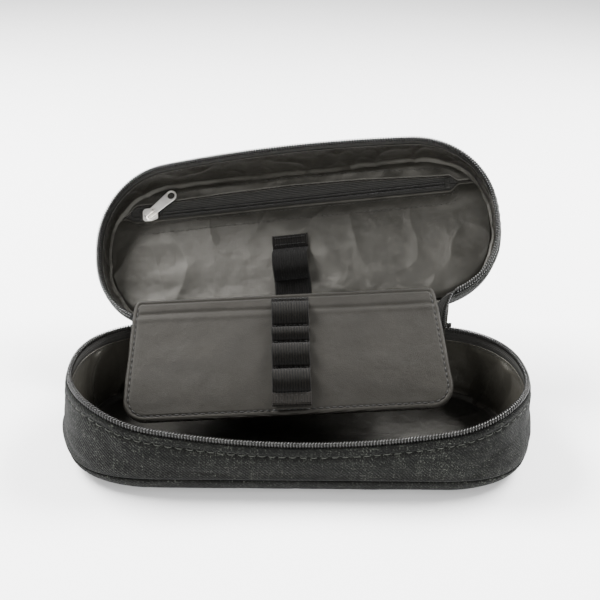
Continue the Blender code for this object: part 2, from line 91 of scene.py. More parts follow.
# ---------------------------------------------------------------- small maths
def rot(axis, a):
    x, y, z = np.array(axis, float) / np.linalg.norm(axis)
    k = np.array([[0, -z, y], [z, 0, -x], [-y, x, 0]])
    return np.eye(3) + math.sin(a) * k + (1 - math.cos(a)) * k @ k


def perlin(p, seed=0):
    p = np.asarray(p, float)
    rng = np.random.RandomState(seed)
    perm = rng.permutation(256)
    perm = np.concatenate([perm, perm, perm[:4]])
    g = rng.normal(size=(256, 3))
    g /= np.linalg.norm(g, axis=1)[:, None]
    i = np.floor(p).astype(int)
    f = p - i
    i &= 255
    u = f * f * f * (f * (f * 6 - 15) + 10)
    out = 0.0
    for dx in (0, 1):
        for dy in (0, 1):
            for dz in (0, 1):
                h = perm[perm[perm[(i[..., 0] + dx) & 255] + ((i[..., 1] + dy) & 255)] + ((i[..., 2] + dz) & 255)]
                w = ((u[..., 0] if dx else 1 - u[..., 0]) * (u[..., 1] if dy else 1 - u[..., 1])
                     * (u[..., 2] if dz else 1 - u[..., 2]))
                out = out + w * np.sum(g[h] * (f - np.array([dx, dy, dz])), axis=-1)
    return out * 1.6


def crease(p, seed=0):
    """Sharp soft ridges, as in thin crumpled cloth: 0 in the flats, 1 on the ridges."""
    return (1.0 - np.clip(np.abs(perlin(p, seed)) * 3.2, 0, 1)) ** 2


def smooth(a, b, x):
    t = np.clip((x - a) / (b - a), 0, 1)
    return t * t * (3 - 2 * t)


def end_xy(a, r):
    x = STRAIGHT + r * np.abs(np.cos(a)) ** (2.0 / POWER)
    y = r * np.sign(np.sin(a)) * np.abs(np.sin(a)) ** (2.0 / POWER)
    return x, y


def half_width(y, r):
    """Half length of the oval of end radius r at depth y."""
    f = np.clip(np.abs(y) / r, 0, 1)
    return STRAIGHT + r * (1 - f ** POWER) ** (1 / POWER)


def back_y(x, r=HALF_DEPTH):
    f = np.clip((np.abs(x) - STRAIGHT) / r, 0, 1)
    return r * (1 - f ** POWER) ** (1 / POWER)


def rim(x, y):
    front = np.clip(-y / HALF_DEPTH, 0, 1)
    return RIM_HEIGHT + RIM_SLOPE * y - RIM_SAG * front ** 2 * (1 - (x / HALF_LENGTH) ** 2)


def fold_z(x):
    return AXIS[2] + math.tan(LID_ROLL) * x


class Rail:
    """The oval outline from the back left corner round the front to the back right, by length."""

    def __init__(self, left=None, right=None):
        def ang(x):
            return math.acos(max(min((abs(x) - STRAIGHT) / HALF_DEPTH, 1), 0) ** (POWER / 2))
        n = 5000
        al = math.pi / 2 if left is None else ang(left)
        ar = math.pi / 2 if right is None else ang(right)
        a = al + (-math.pi / 2 - al) * np.linspace(0, 1, n)
        lx, ly = end_xy(a, HALF_DEPTH)
        fx = np.linspace(-STRAIGHT, STRAIGHT, 400)[1:-1]
        a = -math.pi / 2 + (ar + math.pi / 2) * np.linspace(0, 1, n)
        rx, ry = end_xy(a, HALF_DEPTH)
        x = np.concatenate([-lx, fx, rx])
        y = np.concatenate([ly, np.full(len(fx), -HALF_DEPTH), ry])
        if left is None:
            bx = np.linspace(STRAIGHT, -STRAIGHT, 400)[1:]
            x = np.concatenate([x, bx])
            y = np.concatenate([y, np.full(len(bx), HALF_DEPTH)])
        keep = np.concatenate([[True], np.hypot(np.diff(x), np.diff(y)) > 1e-6])
        x, y = x[keep], y[keep]
        self.s = np.concatenate([[0], np.cumsum(np.hypot(np.diff(x), np.diff(y)))])
        self.length = self.s[-1]
        self.x, self.y = x, y

    def at(self, s):
        s = np.asarray(s, float)
        x, y = np.interp(s, self.s, self.x), np.interp(s, self.s, self.y)
        e = 0.6
        x1, y1 = np.interp(s + e, self.s, self.x), np.interp(s + e, self.s, self.y)
        x0, y0 = np.interp(s - e, self.s, self.x), np.interp(s - e, self.s, self.y)
        d = np.hypot(x1 - x0, y1 - y0) + 1e-12
        return x, y, (y1 - y0) / d, -(x1 - x0) / d


BASE = Rail(BACK_LEFT, BACK_RIGHT)
LID = Rail(BACK_LEFT, BACK_RIGHT)
LID_IN = Rail(93.5, 86.5)
FULL = Rail()

lid_u = rot([0, 1, 0], -LID_ROLL) @ np.array([1.0, 0, 0])
LID_R = rot(lid_u, -LID_OPEN)


def lid_w(p):
    return (np.asarray(p) - AXIS) @ LID_R.T + AXIS


# The leatherette of the flap is soft and hangs a little steeper across than its board.
SOFT_AXIS = np.array([0.0, 42.6, 64.4])
SOFT_ROLL = math.radians(4.0)
FLAP_R = rot([0, 1, 0], -SOFT_ROLL) @ rot([1, 0, 0], FLAP_SLOPE)
CAD_FLAP_R = rot([0, 1, 0], -FLAP_ROLL) @ rot([1, 0, 0], FLAP_SLOPE)


def flap_w(p):
    """Flap coordinates: x along the fold, -y down the flap, z off its face."""
    return np.asarray(p) @ FLAP_R.T + SOFT_AXIS


# ---------------------------------------------------------------- materials
def nodes_of(name):
    m = bpy.data.materials.new(name)
    m.use_nodes = True
    nt = m.node_tree
    return m, nt, nt.nodes["Principled BSDF"]


class N:
    """Short spellings for shader nodes."""

    def __init__(self, nt):
        self.nt = nt

    def put(self, sock, v):
        if hasattr(v, "is_linked") or isinstance(v, bpy.types.NodeSocket):
            self.nt.links.new(v, sock)
        else:
            sock.default_value = v

    def math(self, op, a, b=0.0, c=0.0, clamp=False):
        n = self.nt.nodes.new("ShaderNodeMath")
        n.operation = op
        n.use_clamp = clamp
        self.put(n.inputs[0], a)
        self.put(n.inputs[1], b)
        if len(n.inputs) > 2:
            self.put(n.inputs[2], c)
        return n.outputs[0]

    def uv(self):
        n = self.nt.nodes.new("ShaderNodeUVMap")
        n.uv_map = "weave"
        s = self.nt.nodes.new("ShaderNodeSeparateXYZ")
        self.nt.links.new(n.outputs[0], s.inputs[0])
        return s.outputs[0], s.outputs[1], n.outputs[0]

    def obj(self):
        return self.nt.nodes.new("ShaderNodeTexCoord").outputs["Object"]

    def noise(self, vec, scale, detail=2.0, rough=0.5):
        n = self.nt.nodes.new("ShaderNodeTexNoise")
        if vec is not None:
            self.nt.links.new(vec, n.inputs["Vector"])
        n.inputs["Scale"].default_value = scale
        n.inputs["Detail"].default_value = detail
        n.inputs["Roughness"].default_value = rough
        return n.outputs["Fac"] if "Fac" in n.outputs else n.outputs[0]

    def white(self, v):
        n = self.nt.nodes.new("ShaderNodeTexWhiteNoise")
        n.noise_dimensions = '1D'
        self.put(n.inputs["W"], v)
        return n.outputs["Value"]

    def combine(self, x, y, z=0.0):
        n = self.nt.nodes.new("ShaderNodeCombineXYZ")
        for i, v in enumerate((x, y, z)):
            self.put(n.inputs[i], v)
        return n.outputs[0]

    def ramp(self, v, stops):
        n = self.nt.nodes.new("ShaderNodeValToRGB")
        self.nt.links.new(v, n.inputs[0])
        e = n.color_ramp.elements
        while len(e) < len(stops):
            e.new(0.5)
        for k, (pos, c) in enumerate(stops):
            e[k].position = pos
            e[k].color = (*c, 1) if len(c) == 3 else c
        return n.outputs[0]

    def bump(self, h, dist, strength=1.0, normal=None):
        n = self.nt.nodes.new("ShaderNodeBump")
        n.inputs["Distance"].default_value = dist
        n.inputs["Strength"].default_value = strength
        self.nt.links.new(h, n.inputs["Height"])
        if normal is not None:
            self.nt.links.new(normal, n.inputs["Normal"])
        return n.outputs[0]


def make_twill(name):
    """Melange twill: grey and near-black yarns with diagonal ribs and pale flecks."""
    m, nt, b = nodes_of(name)
    q = N(nt)
    u, v, uv = q.uv()
    wob = q.math('MULTIPLY', q.math('SUBTRACT', q.noise(uv, 0.07, 2), 0.5), 2.4)
    u2 = q.math('ADD', u, wob)
    t = 0.46
    cu, cv = q.math('FLOOR', q.math('DIVIDE', u2, t)), q.math('FLOOR', q.math('DIVIDE', v, t))
    step = q.math('MODULO', q.math('ADD', q.math('ADD', cu, cv), 4000.0), 4.0)
    warp_up = q.math('LESS_THAN', step, 1.9)
    wn = q.white(cu)
    wf = q.white(q.math('ADD', cv, 511.3))
    slub = q.noise(q.combine(q.math('MULTIPLY', u2, 1.6), q.math('MULTIPLY', v, 0.22)), 1.0, 2)
    slub2 = q.noise(q.combine(q.math('MULTIPLY', u2, 0.2), q.math('MULTIPLY', v, 1.7)), 1.0, 2)
    a = q.math('ADD', q.math('MULTIPLY', wn, 0.26), q.math('MULTIPLY', slub, 0.62))
    c = q.math('ADD', q.math('MULTIPLY', wf, 0.24), q.math('MULTIPLY', slub2, 0.60))
    mixn = q.math('ADD', q.math('MULTIPLY', a, warp_up), q.math('MULTIPLY', c, q.math('SUBTRACT', 1.0, warp_up)))
    cell = q.white(q.math('ADD', q.math('MULTIPLY', cu, 17.31), q.math('MULTIPLY', cv, 3.77)))
    val = q.math('ADD', q.math('MULTIPLY', mixn, 0.72), q.math('MULTIPLY', cell, 0.36))
    big = q.noise(uv, 0.03, 3)
    val = q.math('ADD', val, q.math('MULTIPLY', q.math('SUBTRACT', big, 0.5), 0.22))
    col = q.ramp(val, [(0.24, (0.0008, 0.0008, 0.0007)), (0.50, (0.0024, 0.0026, 0.0022)),
                       (0.66, (0.0105, 0.0112, 0.0096)), (0.84, (0.060, 0.064, 0.054))])
    nt.links.new(col, b.inputs["Base Color"])
    fu = q.math('SINE', q.math('MULTIPLY', u2, 2 * math.pi / t))
    fv = q.math('SINE', q.math('MULTIPLY', v, 2 * math.pi / t))
    rib = q.math('SINE', q.math('MULTIPLY', q.math('ADD', u2, v), 2 * math.pi / (t * 4)))
    h = q.math('ADD', q.math('MULTIPLY', q.math('ADD', fu, fv), 0.22), q.math('MULTIPLY', rib, 0.5))
    h = q.math('ADD', h, q.math('MULTIPLY', val, 0.9))
    nt.links.new(q.bump(h, 0.00022, 0.9), b.inputs["Normal"])
    b.inputs["Roughness"].default_value = 0.88
    b.inputs["Specular IOR Level"].default_value = 0.10
    b.inputs["Sheen Weight"].default_value = 0.04
    b.inputs["Sheen Roughness"].default_value = 0.4
    return m


def make_taffeta(name, base=(0.0070, 0.0065, 0.0052), rough=0.33):
    """Thin smooth lining cloth with a soft grey sheen and fine crumples."""
    m, nt, b = nodes_of(name)
    q = N(nt)
    u, v, uv = q.uv()
    o = q.obj()
    big = q.noise(o, 38.0, 3)
    col = q.ramp(big, [(0.3, tuple(0.8 * c for c in base)), (0.7, tuple(1.25 * c for c in base))])
    nt.links.new(col, b.inputs["Base Color"])
    fine = q.math('ADD', q.math('SINE', q.math('MULTIPLY', u, 2 * math.pi / 0.36)),
                  q.math('SINE', q.math('MULTIPLY', v, 2 * math.pi / 0.30)))
    n1 = q.bump(fine, 0.00003, 0.5)
    crum = q.noise(o, 75.0, 2, 0.45)
    n2 = q.bump(crum, 0.0022, 0.45, n1)
    nt.links.new(n2, b.inputs["Normal"])
    r = q.math('ADD', rough - 0.06, q.math('MULTIPLY', q.noise(o, 90.0, 2), 0.16))
    nt.links.new(r, b.inputs["Roughness"])
    b.inputs["Specular IOR Level"].default_value = 0.42
    b.inputs["Specular Tint"].default_value = (1.0, 0.965, 0.88, 1)
    b.inputs["Sheen Weight"].default_value = 0.05
    b.inputs["Sheen Roughness"].default_value = 0.35
    b.inputs["Sheen Tint"].default_value = (1.0, 0.96, 0.88, 1)
    return m


def make_leather(name):
    """Smooth coated leatherette: warm dark grey, fine pebble grain, slight rub marks."""
    m, nt, b = nodes_of(name)
    q = N(nt)
    o = q.obj()
    big = q.noise(o, 45.0, 4)
    rub = q.noise(o, 420.0, 3)
    val = q.math('ADD', q.math('MULTIPLY', big, 0.7), q.math('MULTIPLY', rub, 0.3))
    col = q.ramp(val, [(0.3, (0.0030, 0.0027, 0.0021)), (0.55, (0.0048, 0.0043, 0.0034)), (0.75, (0.0078, 0.0070, 0.0056))])
    nt.links.new(col, b.inputs["Base Color"])
    vor = nt.nodes.new("ShaderNodeTexVoronoi")
    vor.feature = 'DISTANCE_TO_EDGE'
    vor.inputs["Scale"].default_value = 1500.0
    nt.links.new(o, vor.inputs["Vector"])
    g = q.math('MINIMUM', vor.outputs["Distance"], 0.25)
    n1 = q.bump(g, 0.00035, 0.45)
    n2 = q.bump(q.noise(o, 120.0, 3), 0.0009, 0.35, n1)
    nt.links.new(n2, b.inputs["Normal"])
    r = q.math('ADD', 0.46, q.math('MULTIPLY', big, 0.22))
    nt.links.new(r, b.inputs["Roughness"])
    b.inputs["Specular IOR Level"].default_value = 0.20
    b.inputs["Specular Tint"].default_value = (1.0, 0.96, 0.88, 1)
    return m


def make_tape(name, shade=1.0):
    """Woven zip tape with a herringbone face."""
    m, nt, b = nodes_of(name)
    q = N(nt)
    u, v, uv = q.uv()
    zig = q.math('PINGPONG', v, 1.1)
    w = q.math('SINE', q.math('MULTIPLY', q.math('ADD', u, zig), 2 * math.pi / 0.75))
    line = q.math('SINE', q.math('MULTIPLY', v, 2 * math.pi / 1.1))
    val = q.math('ADD', q.math('MULTIPLY', w, 0.22), q.math('ADD', 0.5, q.math('MULTIPLY', q.math('SUBTRACT', q.noise(uv, 0.8, 3), 0.5), 0.5)))
    val = q.math('ADD', val, q.math('MULTIPLY', line, 0.1))
    col = q.ramp(val, [(0.25, tuple(shade * c for c in (0.0045, 0.0043, 0.0038))),
                       (0.8, tuple(shade * c for c in (0.019, 0.018, 0.0155)))])
    nt.links.new(col, b.inputs["Base Color"])
    nt.links.new(q.bump(q.math('ADD', w, line), 0.00012, 0.8), b.inputs["Normal"])
    b.inputs["Roughness"].default_value = 0.72
    b.inputs["Specular IOR Level"].default_value = 0.35
    return m


def make_elastic(name):
    """Knitted elastic: lengthwise cords crossed by fine picks."""
    m, nt, b = nodes_of(name)
    q = N(nt)
    u, v, uv = q.uv()          # u across the band, v along it
    pick = q.math('SINE', q.math('MULTIPLY', v, 2 * math.pi / 0.55))
    cord = q.math('COSINE', q.math('MULTIPLY', u, 2 * math.pi * 14 / 20.0))
    fuzz = q.noise(uv, 1.7, 3)
    val = q.math('ADD', q.math('MULTIPLY', cord, 0.26), q.math('ADD', 0.42, q.math('MULTIPLY', q.math('SUBTRACT', fuzz, 0.5), 0.5)))
    val = q.math('ADD', val, q.math('MULTIPLY', pick, 0.06))
    col = q.ramp(val, [(0.12, (0.0006, 0.0005, 0.0004)), (0.5, (0.0030, 0.0026, 0.0020)), (0.9, (0.0135, 0.0115, 0.0095))])
    nt.links.new(col, b.inputs["Base Color"])
    nt.links.new(q.bump(q.math('ADD', q.math('MULTIPLY', pick, 0.5), fuzz), 0.00016, 0.9), b.inputs["Normal"])
    b.inputs["Roughness"].default_value = 0.8
    b.inputs["Specular IOR Level"].default_value = 0.10
    b.inputs["Sheen Weight"].default_value = 0.03
    return m


def make_plastic(name, colour=(0.006, 0.0057, 0.005), rough=0.28):
    """Nylon monofilament of the coils."""
    m, nt, b = nodes_of(name)
    q = N(nt)
    o = q.obj()
    n = q.noise(o, 600.0, 3)
    nt.links.new(q.ramp(n, [(0.3, tuple(0.75 * c for c in colour)), (0.7, tuple(1.4 * c for c in colour))]), b.inputs["Base Color"])
    nt.links.new(q.math('ADD', rough - 0.06, q.math('MULTIPLY', n, 0.14)), b.inputs["Roughness"])
    nt.links.new(q.bump(n, 0.00004, 0.6), b.inputs["Normal"])
    b.inputs["Specular IOR Level"].default_value = 0.55
    return m


def make_nickel(name):
    """Nickel plate, a little dulled and scratched."""
    m, nt, b = nodes_of(name)
    q = N(nt)
    o = q.obj()
    n = q.noise(o, 260.0, 4)
    mp = nt.nodes.new("ShaderNodeMapping")
    mp.inputs["Scale"].default_value = (300.0, 4200.0, 900.0)
    nt.links.new(o, mp.inputs["Vector"])
    s = q.noise(mp.outputs[0], 1.0, 2)
    nt.links.new(q.ramp(n, [(0.3, (0.68, 0.66, 0.62)), (0.7, (0.84, 0.82, 0.78))]), b.inputs["Base Color"])
    nt.links.new(q.math('ADD', 0.22, q.math('MULTIPLY', n, 0.22)), b.inputs["Roughness"])
    nt.links.new(q.bump(s, 0.00003, 0.35), b.inputs["Normal"])
    b.inputs["Metallic"].default_value = 1.0
    return m


def make_thread(name, colour):
    m, nt, b = nodes_of(name)
    q = N(nt)
    o = q.obj()
    n = q.noise(o, 2200.0, 2)
    nt.links.new(q.ramp(n, [(0.3, tuple(0.6 * c for c in colour)), (0.7, tuple(1.2 * c for c in colour))]), b.inputs["Base Color"])
    nt.links.new(q.bump(n, 0.00008, 0.8), b.inputs["Normal"])
    b.inputs["Roughness"].default_value = 0.6
    b.inputs["Specular IOR Level"].default_value = 0.4
    return m


def make_plain(name, c0, c1, scale, rough, bump):
    """Board and foam, which the covers hide."""
    m, nt, b = nodes_of(name)
    q = N(nt)
    n = q.noise(q.obj(), scale, 4)
    nt.links.new(q.ramp(n, [(0.3, c0), (0.7, c1)]), b.inputs["Base Color"])
    nt.links.new(q.bump(n, bump, 0.7), b.inputs["Normal"])
    b.inputs["Roughness"].default_value = rough
    return m


TWILL = make_twill("melange_twill")
TAFFETA = make_taffeta("lining_taffeta")
TAFFETA_DARK = make_taffeta("lining_taffeta_base", (0.0045, 0.0042, 0.0035), 0.42)
# Lighter copy of the lining cloth for the base wall: painted light, standing in for the lit folds of the lining inside
# the base.
TAFFETA_WALL_PAINTED_LIGHT = make_taffeta("lining_taffeta_wall_painted_light", (0.020, 0.0188, 0.0152), 0.36)
LEATHER = make_leather("leatherette")
TAPE = make_tape("zip_tape")
ELASTIC = make_elastic("ribbed_elastic")
COIL = make_plastic("nylon_coil")
CORE = make_tape("coil_core", 0.8)
NICKEL = make_nickel("nickel_plate")
THREAD_GREY = make_thread("thread_grey", (0.020, 0.022, 0.0165))
THREAD_BLACK = make_thread("thread_black", (0.0045, 0.0042, 0.0038))
THREAD_LINING = make_thread("thread_lining", (0.016, 0.0152, 0.013))
BOARD = make_plain("grey_board", (0.24, 0.21, 0.17), (0.34, 0.31, 0.26), 300.0, 0.85, 0.0002)
FOAM = make_plain("foam_sheet", (0.42, 0.42, 0.40), (0.55, 0.55, 0.53), 900.0, 0.95, 0.0004)


# ---------------------------------------------------------------- mesh makers
def mesh_object(name, verts, faces, mat, uvs=None, smooth_shade=True):
    me = bpy.data.meshes.new(name)
    me.from_pydata([tuple(v) for v in (np.asarray(verts) * MM).tolist()], [], faces)
    me.update()
    if uvs is not None:
        layer = me.uv_layers.new(name="weave")
        idx = np.zeros(len(me.loops), int)
        me.loops.foreach_get("vertex_index", idx)
        layer.data.foreach_set("uv", np.asarray(uvs, np.float32)[idx].ravel())
    if smooth_shade:
        me.shade_smooth()
    ob = bpy.data.objects.new(name, me)
    bpy.context.scene.collection.objects.link(ob)
    me.materials.append(mat)
    return ob


def grid_faces(r, c, closed=False, flip=False):
    out = []
    m = c if closed else c - 1
    for i in range(r - 1):
        for j in range(m):
            k = (j + 1) % c
            f = (i * c + j, i * c + k, (i + 1) * c + k, (i + 1) * c + j)
            out.append(f[::-1] if flip else f)
    return out


def grid_uv(p):
    """Lengths along columns and rows, in mm."""
    du = np.linalg.norm(np.diff(p, axis=1), axis=2)
    u = np.concatenate([[0], np.cumsum(du[du.shape[0] // 2])])
    dv = np.linalg.norm(np.diff(p, axis=0), axis=2)
    v = np.concatenate([np.zeros((1, p.shape[1])), np.cumsum(dv, axis=0)])
    return np.stack([np.broadcast_to(u, v.shape), v], -1).reshape(-1, 2)


def surface(name, p, mat, thick=0.0, offset=-1.0, closed=False, flip=False, uv=None):
    r, c = p.shape[:2]
    ob = mesh_object(name, p.reshape(-1, 3), grid_faces(r, c, closed, flip), mat,
                     grid_uv(p) if uv is None else uv)
    if thick:
        m = ob.modifiers.new("thickness", 'SOLIDIFY')
        m.thickness = thick * MM
        m.offset = offset
    return ob


def tube_mesh(name, pts, radius, mat, sides=6, closed=False, up=(0, 0, 1), squash=1.0):
    """A tube through points, with closed ends, as one mesh."""
    pts = np.asarray(pts, float)
    t = np.gradient(pts, axis=0)
    if closed:
        t = np.roll(pts, -1, 0) - np.roll(pts, 1, 0)
    t /= np.linalg.norm(t, axis=1)[:, None] + 1e-12
    upv = np.broadcast_to(np.asarray(up, float), pts.shape)
    a = np.cross(t, upv)
    bad = np.linalg.norm(a, axis=1) < 1e-3
    a[bad] = np.cross(t[bad], np.array([0.3, 1, 0.2]))
    a /= np.linalg.norm(a, axis=1)[:, None]
    b = np.cross(a, t)
    ph = np.linspace(0, 2 * math.pi, sides, endpoint=False)
    ring = (np.cos(ph)[None, :, None] * a[:, None, :] + squash * np.sin(ph)[None, :, None] * b[:, None, :]) * radius
    v = (pts[:, None, :] + ring).reshape(-1, 3)
    n = len(pts)
    f = []
    for i in range(n if closed else n - 1):
        k = (i + 1) % n
        for j in range(sides):
            l = (j + 1) % sides
            f.append((i * sides + j, i * sides + l, k * sides + l, k * sides + j))
    if not closed:
        f.append(tuple(range(sides))[::-1])
        f.append(tuple((n - 1) * sides + j for j in range(sides)))
    return v, f


def tube(name, pts, radius, mat, **k):
    v, f = tube_mesh(name, pts, radius, mat, **k)
    return mesh_object(name, v, f, mat, np.stack([np.repeat(np.arange(len(v) // k.get("sides", 6)), k.get("sides", 6)) * 0.4,
                                                  np.tile(np.arange(k.get("sides", 6)), len(v) // k.get("sides", 6)) * 0.5], -1))


def stitches(name, path, normal, mat, length=3.0, pitch=4.2, radius=0.22, jitter=0.0, lift=0.15, seed=3):
    """Thread lying on a surface in separate stitches that dip in at both ends."""
    path, normal = np.asarray(path, float), np.asarray(normal, float)
    normal = np.broadcast_to(normal, path.shape)
    s = np.concatenate([[0], np.cumsum(np.linalg.norm(np.diff(path, axis=0), axis=1))])
    rng = np.random.RandomState(seed)
    verts, faces = [], []
    k = 0
    a = pitch * 0.3
    while a + length < s[-1]:
        ss = np.linspace(a, a + length, 7)
        p = np.stack([np.interp(ss, s, path[:, i]) for i in range(3)], -1)
        n = np.stack([np.interp(ss, s, normal[:, i]) for i in range(3)], -1)
        n /= np.linalg.norm(n, axis=1)[:, None]
        bow = np.sin(np.linspace(0, math.pi, 7))
        side = np.cross(p[-1] - p[0], n[3])
        side /= np.linalg.norm(side) + 1e-9
        p = p + n * (lift + 0.32 * bow - 0.42 * (1 - bow) ** 3)[:, None] + side * (rng.uniform(-1, 1) * jitter)
        v, f = tube_mesh("", p, radius, None, sides=5, up=n)
        faces += [tuple(i + k for i in g) for g in f]
        verts.append(v)
        k += len(v)
        a += pitch * (1 + rng.uniform(-0.06, 0.06))
    v = np.concatenate(verts)
    return mesh_object(name, v, faces, mat)


def spiral(name, pts, out, up, pitch, rx, rz, wire, mat, per=9, sides=5):
    """A wound coil along a line: turns of a flattened loop."""
    pts, out, up = (np.asarray(q, float) for q in (pts, out, up))
    out, up = np.broadcast_to(out, pts.shape), np.broadcast_to(up, pts.shape)
    s = np.concatenate([[0], np.cumsum(np.linalg.norm(np.diff(pts, axis=0), axis=1))])
    turns = int(s[-1] / pitch)
    ph = np.linspace(0, 2 * math.pi * turns, turns * per + 1)
    ss = ph / (2 * math.pi) * pitch
    p = np.stack([np.interp(ss, s, pts[:, i]) for i in range(3)], -1)
    o = np.stack([np.interp(ss, s, out[:, i]) for i in range(3)], -1)
    w = np.stack([np.interp(ss, s, up[:, i]) for i in range(3)], -1)
    t = np.gradient(p, axis=0)
    t /= np.linalg.norm(t, axis=1)[:, None]
    c, d = np.cos(ph), np.sin(ph)
    c2 = np.sign(c) * np.abs(c) ** 0.75
    d2 = np.sign(d) * np.abs(d) ** 0.75
    q = p + o * (rx * c2)[:, None] + w * (rz * d2)[:, None] - t * (0.22 * pitch * np.sin(2 * ph))[:, None]
    v, f = tube_mesh("", q, wire, None, sides=sides, up=t)
    ob = mesh_object(name, v, f, mat)
    return ob


def smoothed(p, n=2):
    p = np.array(p, float)
    for _ in range(n):
        p[1:-1] = 0.25 * p[:-2] + 0.5 * p[1:-1] + 0.25 * p[2:]
    return p


# ---------------------------------------------------------------- base: outside
def base_bulge(z, top):
    f = np.clip((z - SEAM) / (top - SEAM), 0, 1)
    return 0.8 * (1 - f) + 1.8 * np.sin(math.pi * f)


S = np.linspace(0, BASE.length, 620)
bx, by, bnx, bny = BASE.at(S)
brim = rim(bx, by)
near_end = smooth(70, 108, np.abs(bx))        # 0 in the middle of the front, 1 on the round ends


def fold_edge(d):
    """How far the turned edge of the cloth stands out, d below its top."""
    return (0.35 * np.exp(-((d - 1.6) / 1.3) ** 2) - 0.42 * np.exp(-((d - 3.9) / 0.55) ** 2)
            + 0.25 * np.exp(-((d - 6.0) / 1.6) ** 2) - 1.1 * np.exp(-(d / 0.42) ** 2))


def side_wall(s, x, y, nx, ny, low, high, bulge, wrinkle, rows, top_fold, seed, sign=1):
    """Rows of points of an outer side wall; the turned edge is at the zip."""
    f = np.linspace(0, 1, rows)
    f = f + 0.06 * np.sin(2 * math.pi * f) * 0
    grid = []
    for k in f:
        z = low + (high - low) * k
        d = np.abs(high - z)
        base = np.stack([x, y, z], -1)
        o = bulge(z) + wrinkle * (0.55 * perlin(base / np.array([34, 34, 13]), seed)
                                  + 0.30 * perlin(base / np.array([13, 13, 7.5]), seed + 1)
                                  - 0.35 * crease(base / np.array([46, 46, 15]), seed + 2))
        o = o + fold_edge(d) - 0.55 * np.exp(-(np.abs(z - low) / 0.8) ** 2)
        grid.append(np.stack([x + nx * o, y + ny * o, z], -1))
    return np.array(grid)


def levels(low, high, rows, fine=14, band=8.0):
    """Row fractions with more rows near the turned edge."""
    a = np.linspace(0, 1 - band / 34.0, rows, endpoint=False)
    return np.concatenate([a, np.linspace(1 - band / 34.0, 1, fine)])


def wall_points(x, y, nx, ny, low, high, off, fr):
    grid = []
    for k in fr:
        z = low + (high - low) * k
        o = off(z, np.abs(high - z), np.abs(z - low))
        grid.append(np.stack([x + nx * o, y + ny * o, z + 0 * x], -1))
    return np.array(grid)


def end_bulge(x, z):
    """The soft ends sag outwards just over the bottom seam."""
    return 3.3 * smooth(76, 112, np.abs(x)) * np.exp(-((z - 13.0) / 12.0) ** 2) * smooth(0, 6, z)


def gusset_off(z, d_top, d_low):
    p = np.stack([bx, by, z], -1)
    amp = 0.75 + 0.75 * near_end
    w = amp * (0.55 * perlin(p / np.array([30, 30, 12]), 11) + 0.28 * perlin(p / np.array([11, 11, 7]), 12)
               - 0.42 * crease(p / np.array([48, 48, 16]), 13))
    w = w * smooth(0, 5, d_low) * smooth(0.5, 5, d_top)
    return base_bulge(z, brim) + w + end_bulge(bx, z) + fold_edge(d_top) - 0.5 * np.exp(-(d_low / 0.7) ** 2)


P = wall_points(bx, by, bnx, bny, SEAM - 0.1 + 0 * bx, brim - 2.55, gusset_off, levels(0, 1, 26))
ob = surface("gusset_cloth_base", P, TWILL, thick=0.9)
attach(ob, "base"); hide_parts("base_gusset")
gusset_top = P[-1]

# topstitching 4 mm below the turned edge
z4 = brim - 2.55 - 4.0
o4 = base_bulge(z4, brim) + end_bulge(bx, z4) - 0.2
path = np.stack([bx + bnx * o4, by + bny * o4, z4], -1)
nrm = np.stack([bnx, bny, 0 * bx + 0.1], -1)
ob = stitches("topstitch_base", path, nrm, THREAD_GREY, length=3.3, pitch=4.9, radius=0.24, jitter=0.12, lift=0.1)
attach(ob, "base")

# pan with a rounded bottom edge
FS = np.linspace(0, FULL.length, 640, endpoint=False)
fx, fy, fnx, fny = FULL.at(FS)
rows = []
for r in (36.5, 30.0, 22.0, 14.0, 7.0, 2.0, 0.4)[::-1]:
    a = r / HALF_DEPTH
    px = np.sign(fx) * np.minimum(np.abs(fx), STRAIGHT) + np.sign(fx) * np.maximum(np.abs(fx) - STRAIGHT, 0) * a
    rows.append(np.stack([px, fy * a, 0.02 + 0 * px], -1))
for th in np.linspace(0, math.pi / 2, 16):
    ins = -0.8 + 9.8 * (1 - math.sin(th))
    z = (SEAM - 0.25) * (1 - math.cos(th))
    p3 = np.stack([fx, fy, z + 0 * fx], -1)
    o = -ins + smooth(0.3, 3, z) * (0.5 * perlin(p3 / np.array([26, 26, 12]), 21) - 0.35 * crease(p3 / np.array([30, 30, 14]), 22))
    o = o + end_bulge(fx, z + 0 * fx) - 0.45 * np.exp(-((SEAM - 0.25 - z) / 0.6) ** 2)
    rows.append(np.stack([fx + fnx * o, fy + fny * o, np.maximum(z + 0 * fx, 0.02)], -1))
P = np.array(rows)
c = P.shape[1]
faces = grid_faces(P.shape[0], c, True)
faces.append(tuple(range(c))[::-1])
uv = grid_uv(P)
uvp = P.reshape(-1, 3)[:, :2].copy()
ob = mesh_object("pan_cloth", P.reshape(-1, 3), faces, TWILL, uv)
m = ob.modifiers.new("thickness", 'SOLIDIFY'); m.thickness = 0.8 * MM; m.offset = -1
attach(ob, "base"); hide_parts("base_bottom_panel")


